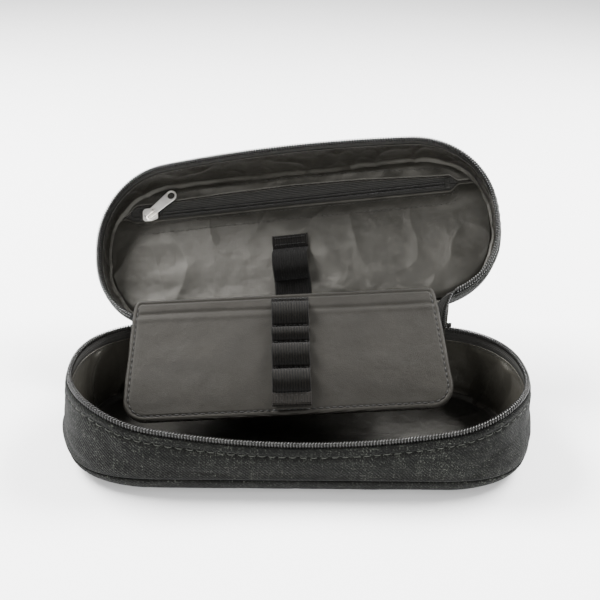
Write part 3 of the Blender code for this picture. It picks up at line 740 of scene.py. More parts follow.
# ---------------------------------------------------------------- coils and tapes
def coil_set(prefix, rail_s, rail, sign, body, to_world, node_coil, node_tape):
    """Coil, cord, tape and the tape's inside face on one side of the main zip."""
    x, y, nx, ny = rail.at(rail_s)
    r = rim(x, y)
    zc = r - sign * 1.42
    line = np.stack([x - nx * 1.15, y - ny * 1.15, zc], -1)
    out = np.stack([nx, ny, 0 * nx], -1)
    w0 = to_world(line)
    wout = to_world(line + out) - w0
    wup = to_world(line + np.array([0, 0, 1.0])) - w0
    ob = spiral(prefix + "_coil", w0, wout, wup, 1.45, 1.02, 1.12, 0.36, COIL)
    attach(ob, body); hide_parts(node_coil)
    v, f = tube_mesh("", w0[::3], 0.62, None, sides=8, up=wup[::3])
    core = mesh_object(prefix + "_cord", v, f, CORE, np.stack([np.repeat(np.arange(len(v) // 8), 8) * 1.0, np.tile(np.arange(8), len(v) // 8) * 0.45], -1))
    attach(core, body)
    # tape: a ribbed band inside the rim
    rows = []
    for k in np.linspace(0, 1, 40):
        d = 1.5 + 9.5 * k
        z = r - sign * d
        dep = 1.75 + 0.14 * np.cos(2 * math.pi * d / 1.15) + 0.35 * np.exp(-((d - 1.5) / 0.8) ** 2) * 0
        p3 = np.stack([x, y, z], -1)
        dep = dep + 0.18 * perlin(p3 / np.array([18, 18, 7]), 31)
        bul = base_bulge(z, r) if sign > 0 else lid_bulge(z, r)
        o = -dep + bul * smooth(0, 4, d)
        rows.append(np.stack([x + nx * o, y + ny * o, z], -1))
    rows = np.array(rows)
    if sign < 0:
        t = surface(prefix + "_tape", to_world(rows), TAPE, thick=0.5, offset=0.0)
    else:
        t = surface(prefix + "_tape", to_world(rows), TAPE, thick=0.5, offset=0.0, flip=True)
    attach(t, body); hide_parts(node_tape)
    return w0


def lid_bulge(z, r):
    low = r + 2.85
    f = np.clip((z - low) / (TOP - 1.2 - low), 0, 1)
    return 1.3 * np.sin(math.pi * f)


ident = lambda p: np.asarray(p)
coil_set("main_zip_base", np.linspace(0.4, BASE.length - 0.4, 1500), BASE, 1, "base", ident, "main_zip_base_coil", "main_zip_base_tape")
coil_set("main_zip_lid", np.linspace(0.4, LID_IN.length - 0.4, 1500), LID_IN, -1, "lid", lid_w, "main_zip_lid_coil", "main_zip_lid_tape")

# ---------------------------------------------------------------- base: lining
rows = []
low, high = 3.1 + 0 * bx, brim - 8.3
for k in np.concatenate([np.linspace(0, 0.93, 34), np.linspace(0.95, 1, 6)]):
    z = low + (high - low) * k
    p = np.stack([bx, by, z], -1)
    w = (0.3 + 1.0 * near_end) * (0.9 * crease(p / np.array([34, 34, 40]), 41) + 2.1 * np.clip(perlin(p / np.array([22, 22, 40]), 42), 0, 1))
    bul = base_bulge(z, brim)
    o = -2.45 + bul - w * smooth(0, 0.12, 1.0 - k) - 1.6 * (1 - smooth(0, 0.12, k)) ** 2
    o = o - 0.28 * np.exp(-(((high - z) - 1.2) / 0.5) ** 2) * 0 - 0.35 * np.exp(-((high - z) / 0.5) ** 2) * 0
    rows.append(np.stack([bx + bnx * o, by + bny * o, z], -1))
P = np.array(rows)
# The base lining wall takes the lighter copy of the lining cloth: painted light on its folds.
ob = surface("lining_wall_base", P, TAFFETA_WALL_PAINTED_LIGHT, thick=0.45, offset=0.0, flip=True)
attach(ob, "base"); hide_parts("base_lining_wall")
pth = P[-3] + np.stack([-bnx, -bny, 0 * bnx], -1) * 0.25
ob = stitches("lining_stitch_base", P[-4], np.stack([-bnx, -bny, 0 * bnx], -1), THREAD_BLACK, 2.0, 2.9, 0.16, lift=0.22)
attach(ob, "base")

rows = []
for r in np.concatenate([np.linspace(0.5, 38, 22), [40.0, 41.5, 42.6, 43.2]]):
    a = r / HALF_DEPTH
    px = np.sign(fx) * np.minimum(np.abs(fx), STRAIGHT) + np.sign(fx) * np.maximum(np.abs(fx) - STRAIGHT, 0) * a
    py = fy * a
    p = np.stack([px, py, 0 * px], -1)
    z = 3.15 + 0.35 * np.abs(perlin(p / 24.0, 51)) + 0.45 * crease(p / np.array([38, 30, 30]), 52) * smooth(43.5, 36, r)
    z = z + 2.4 * smooth(40.5, 43.4, r) ** 2
    rows.append(np.stack([px, py, z], -1))
P = np.array(rows)
c = P.shape[1]
faces = [f[::-1] for f in grid_faces(P.shape[0], c, True)]
faces.append(tuple(range(c)))
ob = mesh_object("lining_floor", P.reshape(-1, 3), [f[::-1] for f in faces], TAFFETA_DARK, P.reshape(-1, 3)[:, :2])
m = ob.modifiers.new("thickness", 'SOLIDIFY'); m.thickness = 0.4 * MM; m.offset = -1
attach(ob, "base"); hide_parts("base_lining_floor")


# ---------------------------------------------------------------- wall behind, bending at the fold
def back_strip(name, depth_base, depth_lid, low, lid_end, mat, thick, nodes, wr, seed, flip, over):
    xs = np.linspace(BACK_RIGHT + 0.6, -BACK_LEFT - 0.6, 260)
    rows = []
    top = fold_z(xs) - 1.6
    for k in np.linspace(0, 1, 34):
        z = low + (top - low) * k
        y = back_y(xs) + 0.2 - depth_base + 0.25 * np.sin(math.pi * np.clip((z - SEAM) / 40, 0, 1))
        p = np.stack([xs, y, z], -1)
        calm = 1 - np.exp(-((xs - 78.0) / 11.0) ** 4)
        y = y + wr * calm * (0.45 * perlin(p / np.array([30, 30, 14]), seed) - 0.3 * crease(p / np.array([40, 40, 17]), seed + 1)) * math.sin(math.pi * k)
        # come to the straight fold line
        y = y * (1 - smooth(0.55, 1.0, k)) + (AXIS[1] - 0.75 - depth_base) * smooth(0.55, 1.0, k)
        rows.append(np.stack([xs, y, z], -1))
    for a in np.linspace(0.12, 0.88, 6):
        ang = a * LID_OPEN
        rr = over
        # a point over the fold, between the base side and the lid side
        c0 = np.stack([xs, 0 * xs + AXIS[1] - 0.75 - depth_base, fold_z(xs) - 1.6], -1)
        closed = np.stack([xs, 0 * xs + AXIS[1] - 0.3 - depth_lid, fold_z(xs) + 1.6], -1)
        c1 = lid_w(closed)
        mid = np.stack([xs, 0 * xs + AXIS[1] + 0.2 - 0.5 * depth_base, fold_z(xs) + rr], -1)
        q = (1 - a) ** 2 * c0 + 2 * a * (1 - a) * (2 * mid - 0.5 * (c0 + c1)) + a * a * c1
        rows.append(q)
    for k in np.linspace(0, 1, 22):
        z = fold_z(xs) + 1.6 + (lid_end - fold_z(xs) - 1.6) * k
        f = (z - fold_z(xs)) / (TOP - fold_z(xs))
        y = (1 - f) * (AXIS[1] - 0.3) + f * (back_y(xs) + 0.5) - depth_lid
        p = np.stack([xs, y, z], -1)
        y = y + wr * (0.4 * perlin(p / np.array([26, 26, 9]), seed + 2)) * math.sin(math.pi * k)
        rows.append(lid_w(np.stack([xs, y, z], -1)))
    ob = surface(name, np.array(rows), mat, thick=thick, flip=flip)
    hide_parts(*nodes)
    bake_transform(ob)
    return ob


back_strip("back_cloth", 0.0, 0.0, SEAM - 0.1, TOP - 0.6, TWILL, 0.9,
           ("back_panel", "lid_back_panel", "lid_hinge_seam"), 1.0, 61, False, 0.9)
back_strip("back_lining_cloth", 1.5, 1.6, 4.0, POCKET_IN - 0.2, TAFFETA, 0.4,
           ("back_panel_lining", "lid_back_lining"), 0.6, 71, False, 2.2)

# ---------------------------------------------------------------- lid: outside
LS = np.linspace(0, LID.length, 620)
lx, ly, lnx, lny = LID.at(LS)
lrim = rim(lx, ly)


def lid_gusset_off(z, d_top, d_low):
    # d_top is measured from TOP, d_low from the turned edge at the zip
    p = np.stack([lx, ly, z], -1)
    w = 0.6 * perlin(p / np.array([30, 30, 12]), 81) + 0.3 * perlin(p / np.array([12, 12, 7]), 82) - 0.35 * crease(p / np.array([44, 44, 15]), 83)
    w = w * smooth(0.5, 5, d_low) * smooth(0.5, 4, d_top)
    return lid_bulge(z, lrim) + w + fold_edge(d_low) - 0.5 * np.exp(-(d_top / 0.7) ** 2)


fr = np.concatenate([np.linspace(0, 8.0 / 34, 14, endpoint=False), np.linspace(8.0 / 34, 1, 22)])
P = wall_points(lx, ly, lnx, lny, lrim + 2.55, TOP - 1.4 + 0 * lx, lid_gusset_off, fr)
ob = surface("gusset_cloth_lid", lid_w(P), TWILL, thick=0.9)
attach(ob, "lid"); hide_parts("lid_gusset")
z4 = lrim + 2.55 + 4.0
o4 = lid_bulge(z4, lrim) - 0.2
path = np.stack([lx + lnx * o4, ly + lny * o4, z4], -1)
wn = lid_w(path + np.stack([lnx, lny, 0 * lnx], -1)) - lid_w(path)
ob = stitches("topstitch_lid", lid_w(path), wn, THREAD_GREY, length=3.3, pitch=4.9, radius=0.24, jitter=0.12, lift=0.1, seed=5)
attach(ob, "lid")

rows = []
for th in np.linspace(math.pi / 2, 0, 9):
    ins = 2.6 * (1 - math.sin(th)) - 0.15
    z = TOP - 1.5 + 1.5 * math.cos(th)
    rows.append(np.stack([fx - fnx * ins, fy - fny * ins, z + 0 * fx], -1))
for r in (42.0, 39.5, 36.0, 31.0, 25.0, 19.0, 13.0, 7.0, 2.5, 0.4):
    a = r / HALF_DEPTH
    px = np.sign(fx) * np.minimum(np.abs(fx), STRAIGHT) + np.sign(fx) * np.maximum(np.abs(fx) - STRAIGHT, 0) * a
    p = np.stack([px, fy * a, 0 * px], -1)
    z = TOP + 0.9 * smooth(44, 30, r) + 0.5 * perlin(p / 34.0, 91) - 0.35 * crease(p / np.array([50, 36, 30]), 92)
    rows.append(np.stack([px, fy * a, z], -1))
P = np.array(rows)
uv = P.reshape(-1, 3)[:, :2].copy()
faces = grid_faces(P.shape[0], P.shape[1], True)
faces.append(tuple((P.shape[0] - 1) * P.shape[1] + j for j in range(P.shape[1])))
ob = mesh_object("lid_top_cloth", lid_w(P.reshape(-1, 3)), faces, TWILL, uv)
m = ob.modifiers.new("thickness", 'SOLIDIFY'); m.thickness = 0.8 * MM; m.offset = -1
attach(ob, "lid"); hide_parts("lid_top_panel")

# ---------------------------------------------------------------- lid: lining wall
S2 = np.linspace(0, LID_IN.length, 620)
ix, iy, inx, iny = LID_IN.at(S2)
irim = rim(ix, iy)
rows = []
low, high = irim + 8.3, POCKET_IN + 0.2 + 0 * ix
for k in np.concatenate([np.linspace(0, 0.05, 5), np.linspace(0.08, 1, 34)]):
    z = low + (high - low) * k
    p = np.stack([ix, iy, z], -1)
    w = 0.9 * crease(p / np.array([28, 28, 34]), 101) + 1.7 * np.clip(perlin(p / np.array([20, 20, 40]), 102), 0, 1) + 0.2 * crease(p / np.array([12, 12, 22]), 103)
    o = -2.45 + lid_bulge(z, irim) - w * smooth(0, 0.2, k) - 1.8 * smooth(0.8, 1.0, k) ** 2
    rows.append(np.stack([ix + inx * o, iy + iny * o, z], -1))
P = np.array(rows)
ob = surface("lining_wall_lid", lid_w(P), TAFFETA, thick=0.45, offset=0.0, flip=True)
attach(ob, "lid"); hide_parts("lid_lining_wall")
wn = lid_w(P[3] + np.stack([-inx, -iny, 0 * inx], -1)) - lid_w(P[3])
ob = stitches("lining_stitch_lid", lid_w(P[3]), wn, THREAD_BLACK, 2.0, 2.9, 0.16, lift=0.22)
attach(ob, "lid")


# ---------------------------------------------------------------- lid: pocket
def slot_half(x, side):
    """Width of the slot on one side of the zip; it gapes on the far side and closes past the ends."""
    if side < 0:
        w = np.interp(x, [-86, -40, 0, 40, 88], [5.8, 7.6, 8.2, 7.0, 3.8])
    else:
        w = np.interp(x, [-86, 0, 88], [3.0, 2.8, 3.9])
    return w * smooth(97, 91, x) * smooth(-103, -95, x) + 0.15


def panel_lift(x, y, side):
    """Height of the pocket cloth above its flat layout, towards the inside of the case."""
    p = np.stack([x, y, 0 * x], -1)
    edge = np.abs(y - ZIP_Y) - slot_half(x, -1 if side == 0 else 1)
    h = 0.5 + 0.55 * crease(p / np.array([34, 46, 30]), 111 + side) + 0.9 * np.clip(perlin(p / np.array([26, 17, 20]), 113 + side), -0.3, 1)
    h = h * smooth(0, 9, edge)
    h = h + 0.28 * perlin(p / np.array([5.5, 16, 9]), 115) * np.exp(-((edge - 3.0) / 4.0) ** 2)
    h = h - 0.25 * np.exp(-((edge - 1.0) / 0.5) ** 2)
    h = h + 0.35 * np.exp(-(edge / 0.5) ** 2)
    return h


def panel(name, side, node):
    u = np.linspace(-1, 1, 420)
    rows = []
    fr = np.concatenate([np.linspace(0, 0.15, 12, endpoint=False), np.linspace(0.15, 1, 46)])
    for k in fr:
        if side < 0:
            # far part, from the slot towards the front of the closed case
            x = u * half_width(ZIP_Y, 42.6)
            y0 = ZIP_Y - slot_half(x, -1)
            yend = -np.minimum(back_y(x, 42.6), 42.6)
            y = y0 + (np.minimum(yend, y0) - y0) * k
            y = np.where(yend < y0, y, y0 - 0.02 * k)
        else:
            x = u * 108.0
            x = u * (half_width(ZIP_Y, 42.6) + (STRAIGHT + 42.6 - half_width(ZIP_Y, 42.6)) * smooth(0, 0.3, k))
            y0 = ZIP_Y + slot_half(x, 1)
            wide = np.minimum(np.abs(u) * (STRAIGHT + 42.5), STRAIGHT + 42.5)
            x = np.sign(u) * wide
            y0 = np.where(np.abs(x) > half_width(ZIP_Y, 42.6), -back_y(x, 42.6), ZIP_Y + slot_half(x, 1))
            yend = np.minimum(back_y(x, 42.6), AXIS[1] - 4.2)
            y = y0 + (yend - y0) * k
        h = panel_lift(x, y, 0 if side < 0 else 1)
        inner = np.minimum(np.abs(y - yend), 8)
        h = h * smooth(0, 4, inner)
        rows.append(np.stack([x, y, POCKET_IN - h], -1))
    P = np.array(rows)
    # the far panel runs towards -y, the near one towards +y
    ob = surface(name, lid_w(P), TAFFETA, thick=0.4, offset=0.0, flip=(side > 0),
                 uv=np.stack([P[..., 0], P[..., 1]], -1).reshape(-1, 2))
    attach(ob, "lid"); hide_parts(node)
    return P


panel("pocket_cloth_far", -1, "pocket_panel_upper")
panel("pocket_cloth_near", 1, "pocket_panel_lower")
down_n = LID_R @ np.array([0, 0, -1.0])
for i, (side, d) in enumerate(((-1, 0.9), (-1, 5.6), (1, 2.7), (1, 8.7))):
    x = np.linspace(-96, 96, 500)
    y = ZIP_Y + side * (slot_half(x, side) + d)
    x = x[np.abs(x) < half_width(y, 42.0) - 1]
    y = ZIP_Y + side * (slot_half(x, side) + d)
    h = panel_lift(x, y, 0 if side < 0 else 1)
    ob = stitches("pocket_stitch_%d" % (i + 1), lid_w(np.stack([x, y, POCKET_IN - h - 0.15], -1)), down_n, THREAD_LINING, 2.1, 2.9, 0.17, lift=0.12, seed=20 + i)
    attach(ob, "lid")

for i, side in enumerate((-1, 1)):
    rows = []
    for k in np.linspace(0, 1, 34):
        d = 0.25 + 9.3 * k
        x = np.linspace(-99, 99, 260)
        y = ZIP_Y + side * d + 0 * x
        z = POCKET_IN + 0.55 - 0.1 * np.cos(2 * math.pi * d / 1.1) + 0.15 * perlin(np.stack([x / 14, y / 6, 0 * x], -1), 121)
        rows.append(np.stack([x, y, z], -1))
    P = np.array(rows)
    ob = surface("pocket_tape_%s" % ("far" if side < 0 else "near"), lid_w(P), TAPE, thick=0.4, offset=0.0, flip=(side > 0))
    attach(ob, "lid")
    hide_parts("pocket_zip_tape_upper" if side < 0 else "pocket_zip_tape_lower")
    x = np.linspace(ZIP_X0, ZIP_X1, 900)
    line = np.stack([x, ZIP_Y + side * 0.95 + 0 * x, POCKET_IN + 0.02 + 0 * x], -1)
    w0 = lid_w(line)
    ob = spiral("pocket_coil_%s" % ("far" if side < 0 else "near"), w0, LID_R @ np.array([0, 1.0, 0]), LID_R @ np.array([0, 0, 1.0]),
                1.15, 0.52, 0.28, 0.2, COIL, per=8)
    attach(ob, "lid")
    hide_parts("pocket_zip_coil_upper" if side < 0 else "pocket_zip_coil_lower")
    v, f = tube_mesh("", w0[::6], 0.24, None, sides=6)
    ob = mesh_object("pocket_cord_%s" % ("far" if side < 0 else "near"), v, f, THREAD_BLACK)
    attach(ob, "lid")

# bar tacks across both ends of the slot
for nm, x0 in (("right", ZIP_X1 + 0.4), ("left", -93.0)):
    parts, faces, k = [], [], 0
    for j in range(9):
        xx = x0 + 0.26 * j
        hh = 3.4
        y = np.linspace(ZIP_Y - hh, ZIP_Y + hh, 9)
        p = np.stack([xx + 0 * y + (0.12 if j % 2 else -0.05), y, POCKET_IN - 1.05 - 0.25 * np.sin(np.linspace(0, math.pi, 9))], -1)
        v, f = tube_mesh("", lid_w(p), 0.16, None, sides=5)
        parts.append(v); faces += [tuple(i + k for i in g) for g in f]; k += len(v)
    ob = mesh_object("pocket_tack_" + nm, np.concatenate(parts), faces, THREAD_LINING)
    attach(ob, "lid")


# ---------------------------------------------------------------- elastic bands
def arches(segments, power=2.6, n=22):
    pts = []
    for a, b, h in segments:
        if h <= 0:
            for t in np.linspace(a, b, max(3, int((b - a) / 0.7))):
                pts.append((t, 0.0))
        else:
            for i in range(n + 1):
                u = -math.cos(math.pi * i / n)
                pts.append(((a + b) / 2 + (b - a) / 2 * u * (1 + 0.10 * (1 - abs(u) ** 2)), h * (1 - abs(u) ** power)))
    out = [pts[0]]
    for p in pts[1:]:
        if math.dist(p, out[-1]) > 0.12:
            out.append(p)
    return smoothed(np.array(out), 1)


def elastic(name, path, place, node, body, width=20.0, folded=None, seed=0):
    """A ribbed band: 14 cords across, a rounded selvedge, swept through its side view."""
    ribs, per = 14, 6
    x = np.linspace(-width / 2, width / 2, ribs * per + 1)
    ripple = 0.20 * np.cos(2 * math.pi * ribs * (x + width / 2) / width + math.pi)
    edge = -0.25 * np.exp(-((width / 2 - np.abs(x)) / 0.35) ** 2)
    rows = []
    s = np.concatenate([[0], np.cumsum(np.hypot(*np.diff(path, axis=0).T))])
    tang = np.gradient(path, axis=0)
    tang /= np.linalg.norm(tang, axis=1)[:, None]
    nrm = np.stack([-tang[:, 1], tang[:, 0]], -1)
    for i, (a, h) in enumerate(path):
        wob = 0.22 * perlin(np.array([[s[i] / 9.0, 0.3, seed]]), 7)[0]
        q = x * (1.0 - 0.018 * min(h, 6) / 6) + wob
        r = ripple + edge + 0.35 * (1 - (x / (width / 2)) ** 2) * (0.5 if h > 1 else 0.1)
        rows.append(place(a + nrm[i, 0] * r, h + nrm[i, 1] * r, q))
    P = np.array(rows)
    uv = np.stack([np.broadcast_to(x + width / 2, (len(path), len(x))), np.broadcast_to(s[:, None], (len(path), len(x)))], -1).reshape(-1, 2)
    ob = surface(name, P, ELASTIC, thick=0.75, offset=-1.0, uv=uv, flip=True)
    if node:
        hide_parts(node)
    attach(ob, body)
    return P


def on_lid(a, h, x):
    return lid_w(np.stack([LID_BAND_X + x, AXIS[1] - a + 0 * x, POCKET_IN - 1.15 - h + 0 * x], -1))


def on_flap(a, h, x, lift=0.0):
    a, h = a + 0 * x, h + 0 * x
    px = FLAP_SHIFT + 3.0 + x * math.cos(LEAN) - a * math.sin(LEAN)
    py = -a * math.cos(LEAN) - x * math.sin(LEAN)
    return flap_w(np.stack([px, py, 2.0 + h], -1))


lid_path = arches([(14.0, 24.4, 0), (25.0, 43.0, 7.6), (43.6, 51.2, 0)])
lid_path[:, 1] += 0.5 * smooth(43, 45, lid_path[:, 0])
P = elastic("elastic_lid", lid_path, on_lid, "lid_elastic_loop", "lid", seed=1)
fold = np.array([(51.2, 0.3), (51.6, 0.6), (51.5, 1.05), (50.8, 1.3), (48.0, 1.3), (45.4, 1.25), (44.9, 1.0)])
elastic("elastic_lid_fold", smoothed(fold, 0), on_lid, None, "lid", seed=2)
flap_path = arches([(2.6, 4.4, 0), (5.2, 18.2, 6.0), (18.8, 20.0, 0), (20.4, 27.8, 4.6), (28.4, 29.4, 0),
                    (29.8, 42.4, 6.8), (43.0, 44.0, 0), (44.4, 57.2, 6.8), (57.8, 63.8, 0)])
flap_P = elastic("elastic_flap", flap_path, on_flap, "flap_elastic_loops", "flap", seed=3)
fold = np.array([(63.8, 0.2), (64.3, 0.6), (64.1, 1.1), (63.4, 1.3), (61.0, 1.3), (58.9, 1.2), (58.4, 0.9)])
elastic("elastic_flap_fold", fold, on_flap, None, "flap", seed=4)
xs = np.linspace(-9.3, 9.3, 60)
fn = FLAP_R @ np.array([0, 0, 1.0])
for i, a in enumerate((3.4, 19.4, 28.9, 43.5, 59.6, 62.4)):
    hh = 1.5 if a > 58 else 0.3
    ob = stitches("elastic_seam_%d" % (i + 1), on_flap(a, hh, xs), fn, THREAD_BLACK, 1.9, 2.5, 0.19, lift=0.05, seed=30 + i)
    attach(ob, "flap")
for i, a in enumerate((15.5, 24.6, 45.8, 49.8)):
    hh = 1.8 if a > 44 else 0.25
    ob = stitches("elastic_lid_seam_%d" % (i + 1), on_lid(a, hh, xs), down_n, THREAD_BLACK, 1.9, 2.5, 0.19, lift=0.05, seed=40 + i)
    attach(ob, "lid")

# ---------------------------------------------------------------- flap
TOP_HALF, MID_HALF, END_HALF, LENGTH, CORNER = 80.3, 81.8, 84.0, 68.0, 11.0


def flap_half(v, inset=0.0):
    """Half width of the flap at v below its fold."""
    w = np.interp(v, [0, 6, 14, LENGTH - CORNER, LENGTH], [TOP_HALF, MID_HALF - 0.6, MID_HALF, END_HALF, END_HALF]) - inset
    L = LENGTH - inset
    r = CORNER - 0.6 * inset
    d = np.clip(v - (L - r), 0, r)
    w = w - (r - np.sqrt(np.maximum(r * r - d * d, 0)))
    t = np.clip(3.0 - v, 0, 3.0)
    w = w - (3.0 - np.sqrt(np.maximum(9.0 - t * t, 0))) * 0.8
    return w


def outline_points(inset, n=700):
    v = np.concatenate([np.linspace(inset, LENGTH - CORNER, 160, endpoint=False),
                        LENGTH - inset - (CORNER - 0.6 * inset) * (1 - np.sin(np.linspace(0, math.pi / 2, 60)))])
    w = flap_half(v, inset)
    bottom = np.linspace(w[-1], -w[-1], 220)[1:-1]
    x = np.concatenate([w, bottom, -w[::-1]])
    y = np.concatenate([v, np.full(len(bottom), LENGTH - inset), v[::-1]])
    return np.stack([x, y], -1)


edge_line = outline_points(0.0)


def edge_distance(x, v):
    """Distance to the outline, vectorised over the grid in slices."""
    out = np.full(x.shape, 1e9)
    e = edge_line[::2]
    for i in range(0, len(e), 40):
        ch = e[i:i + 40]
        d = np.hypot(x[..., None] - ch[:, 0], v[..., None] - ch[:, 1]).min(-1)
        out = np.minimum(out, d)
    out = np.minimum(out, np.abs(v - 0.0) + 0.4)
    return out


cu = np.concatenate([np.linspace(-1, -0.945, 22, endpoint=False), np.linspace(-0.945, 0.945, 120), np.linspace(0.945, 1, 23)[1:]])
cv = np.concatenate([np.linspace(0.0, 4, 10, endpoint=False), np.linspace(4, 20, 26, endpoint=False), np.linspace(20, 56, 26, endpoint=False),
                     LENGTH - 12 * (1 - np.sin(np.linspace(0, math.pi / 2, 44)))])
V = np.broadcast_to(cv[:, None], (len(cv), len(cu))).copy()
W = flap_half(V)
X = W * cu[None, :]
D = edge_distance(X, V)
round_edge = np.sqrt(np.clip(1 - (1 - np.clip(D / 1.3, 0, 1)) ** 2, 0, 1))
p3 = np.stack([X, V, 0 * X], -1)
soft = 0.35 * perlin(p3 / np.array([40, 26, 30]), 131) + 0.18 * perlin(p3 / np.array([14, 10, 9]), 132)
top_h = 1.45 * round_edge + soft * smooth(1, 8, D)
top_h -= 0.42 * np.exp(-((D - 2.5) / 0.45) ** 2) * (V > 1.5)
top_h -= 0.55 * np.exp(-((V - 9.0 - 0.8 * np.sin(X / 30)) / 1.2) ** 2) * smooth(0, 6, D)      # soft crease near the fold
top_h += 0.25 * np.exp(-((V - 11.6) / 1.6) ** 2)
bot_h = -1.45 * round_edge - 0.1 * soft + 0.35 * np.exp(-((D - 2.5) / 0.45) ** 2) * (V > 1.5)
bend = -0.012 * np.clip(V - 40, 0, 30) ** 2 * 0.25 + 0.4 * np.sin(X / 60) * V / LENGTH      # the free edge droops a little
top = np.stack([X + FLAP_SHIFT, -V, top_h + bend], -1)
bot = np.stack([X + FLAP_SHIFT, -V, bot_h + bend], -1)
R_, C_ = X.shape
vv = np.concatenate([flap_w(top).reshape(-1, 3), flap_w(bot).reshape(-1, 3)])
ft = grid_faces(R_, C_)          # rows run down the flap, columns to the right
n0 = R_ * C_
faces = [f[::-1] for f in ft] + [tuple(i + n0 for i in f) for f in ft]
border = [j for j in range(C_)] + [i * C_ + C_ - 1 for i in range(1, R_)] + [(R_ - 1) * C_ + j for j in range(C_ - 2, -1, -1)] + [i * C_ for i in range(R_ - 2, 0, -1)]
for a, b in zip(border, border[1:] + border[:1]):
    faces.append((a, b, b + n0, a + n0))
uvx = np.stack([X, V], -1).reshape(-1, 2)
flap_ob = mesh_object("flap_leather", vv, faces, LEATHER, np.concatenate([uvx, uvx]))
bm = bmesh.new(); bm.from_mesh(flap_ob.data)
bmesh.ops.remove_doubles(bm, verts=bm.verts, dist=2e-6)
bmesh.ops.recalc_face_normals(bm, faces=bm.faces)
bm.to_mesh(flap_ob.data); bm.free()
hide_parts("flap_front_skin", "flap_back_skin", "flap_board")
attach(flap_ob, "flap")
o = outline_points(2.5)
o = o[2:-2]
sd = np.concatenate([[0], np.cumsum(np.hypot(*np.diff(o, axis=0).T))])
q = np.linspace(0, sd[-1], 900)
ox, ov = np.interp(q, sd, o[:, 0]), np.interp(q, sd, o[:, 1])
bendo = -0.012 * np.clip(ov - 40, 0, 30) ** 2 * 0.25 + 0.4 * np.sin(ox / 60) * ov / LENGTH
path = flap_w(np.stack([ox + FLAP_SHIFT, -ov, 1.12 + bendo], -1))
ob = stitches("flap_edge_stitch", path, fn, THREAD_BLACK, 2.5, 3.3, 0.24, lift=0.0, seed=50)
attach(ob, "flap")

# The strip that carries the flap, from the lining at the fold up to the flap's top edge.
xs = np.linspace(-76.5 + FLAP_SHIFT + 1.5, 76.5 + FLAP_SHIFT, 200)
rows = []
for k in np.linspace(0, 1, 30):
    lowz = fold_z(xs) - 1.0
    topz = np.minimum(62.5 + math.tan(FLAP_ROLL) * xs, SOFT_AXIS[2] - 0.9 + math.tan(SOFT_ROLL) * xs)
    z = lowz + (topz - lowz) * k
    y = 45.4 - 3.1 * k + 0.9 * math.sin(math.pi * k) + 0.25 * perlin(np.stack([xs / 22, z / 8, 0 * xs], -1), 141) * math.sin(math.pi * k)
    rows.append(np.stack([xs, y, z], -1))
for k in np.linspace(0.15, 1, 6):
    a = k * (math.pi / 2 + FLAP_SLOPE * 0.4)
    topz = np.minimum(62.5 + math.tan(FLAP_ROLL) * xs, SOFT_AXIS[2] - 0.9 + math.tan(SOFT_ROLL) * xs)
    rows.append(np.stack([xs, 42.3 - 1.3 * (1 - math.cos(a)) + 0 * xs, topz + 0.4 * math.sin(a)], -1))
ob = surface("flap_root_leather", np.array(rows), LEATHER, thick=0.7, offset=-1.0, flip=False)
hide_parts("flap_hinge_strip")
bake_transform(ob)

# The flap, its edge stitch and its bands get meshes of their own.
for o in list(bpy.context.scene.objects):
    if o.type == 'MESH' and (o.name in ("flap_leather", "flap_edge_stitch", "elastic_flap", "elastic_flap_fold")
                             or (o.name.startswith("elastic_seam_"))):
        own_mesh(o)

# ---------------------------------------------------------------- zip ends at the two back corners
for side, x_b, x_l in ((-1, -BACK_LEFT, -93.5), (1, BACK_RIGHT, 86.5)):
    yb, yl = back_y(np.array(x_b)), back_y(np.array(x_l))
    cb = np.array([x_b, yb - 1.15, rim(x_b, yb) - 1.42])
    cl = lid_w(np.array([x_l, yl - 1.15, rim(x_l, yl) + 1.42]))
    db = np.array([-side * 0.0 - side * 1.0 * 0.9, 0.35, 0.0]) * -1
    t = np.linspace(0, 1, 60)[:, None]
    h1 = cb + np.array([-side * 3.0, 1.2, 2.5])
    h2 = cl + np.array([-side * 5.0, -3.0, -1.0])
    line = (1 - t) ** 3 * cb + 3 * (1 - t) ** 2 * t * h1 + 3 * (1 - t) * t * t * h2 + t ** 3 * cl
    nm = "left" if side < 0 else "right"
    ob = spiral("zip_end_coil_" + nm, line, np.array([side * 0.7, 0, 0.7]), np.array([0, -0.6, 0.8]), 1.45, 1.0, 1.05, 0.36, COIL)
    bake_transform(ob)
    rows = []
    for k in np.linspace(0, 1, 14):
        inner = line + np.array([-side * 7.0, -1.5, -3.5]) * k * (0.6 + 0.4 * np.sin(math.pi * t))
        rows.append(inner)
    ob = surface("zip_end_tape_" + nm, np.array(rows), TAPE, thick=0.5, offset=0.0)
    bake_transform(ob)

# ---------------------------------------------------------------- metal: the frame's own pieces, edges eased
for n in ("pocket_zip_slider", "main_zip_slider", "pocket_zip_pull_tab", "main_zip_pull_tab"):
    o = frame["nodes"][n]
    w = o.modifiers.new("weld", 'WELD')
    w.merge_threshold = 0.00002
    bv = o.modifiers.new("ease", 'BEVEL')
    bv.width = 0.22 * MM
    bv.segments = 3
    bv.limit_method = 'ANGLE'
    bv.angle_limit = math.radians(35)
    bv.harden_normals = False
    o.data.materials.clear()
    o.data.materials.append(NICKEL)
for n in ("base_stiffener_board", "lid_stiffener_board"):
    o = frame["nodes"][n]; o.data.materials.clear(); o.data.materials.append(BOARD)
for n in ("base_gusset_foam", "lid_gusset_foam"):
    o = frame["nodes"][n]; o.data.materials.clear(); o.data.materials.append(FOAM)
o = frame["nodes"]["lid_lining_backing"]; o.data.materials.clear(); o.data.materials.append(THREAD_LINING)

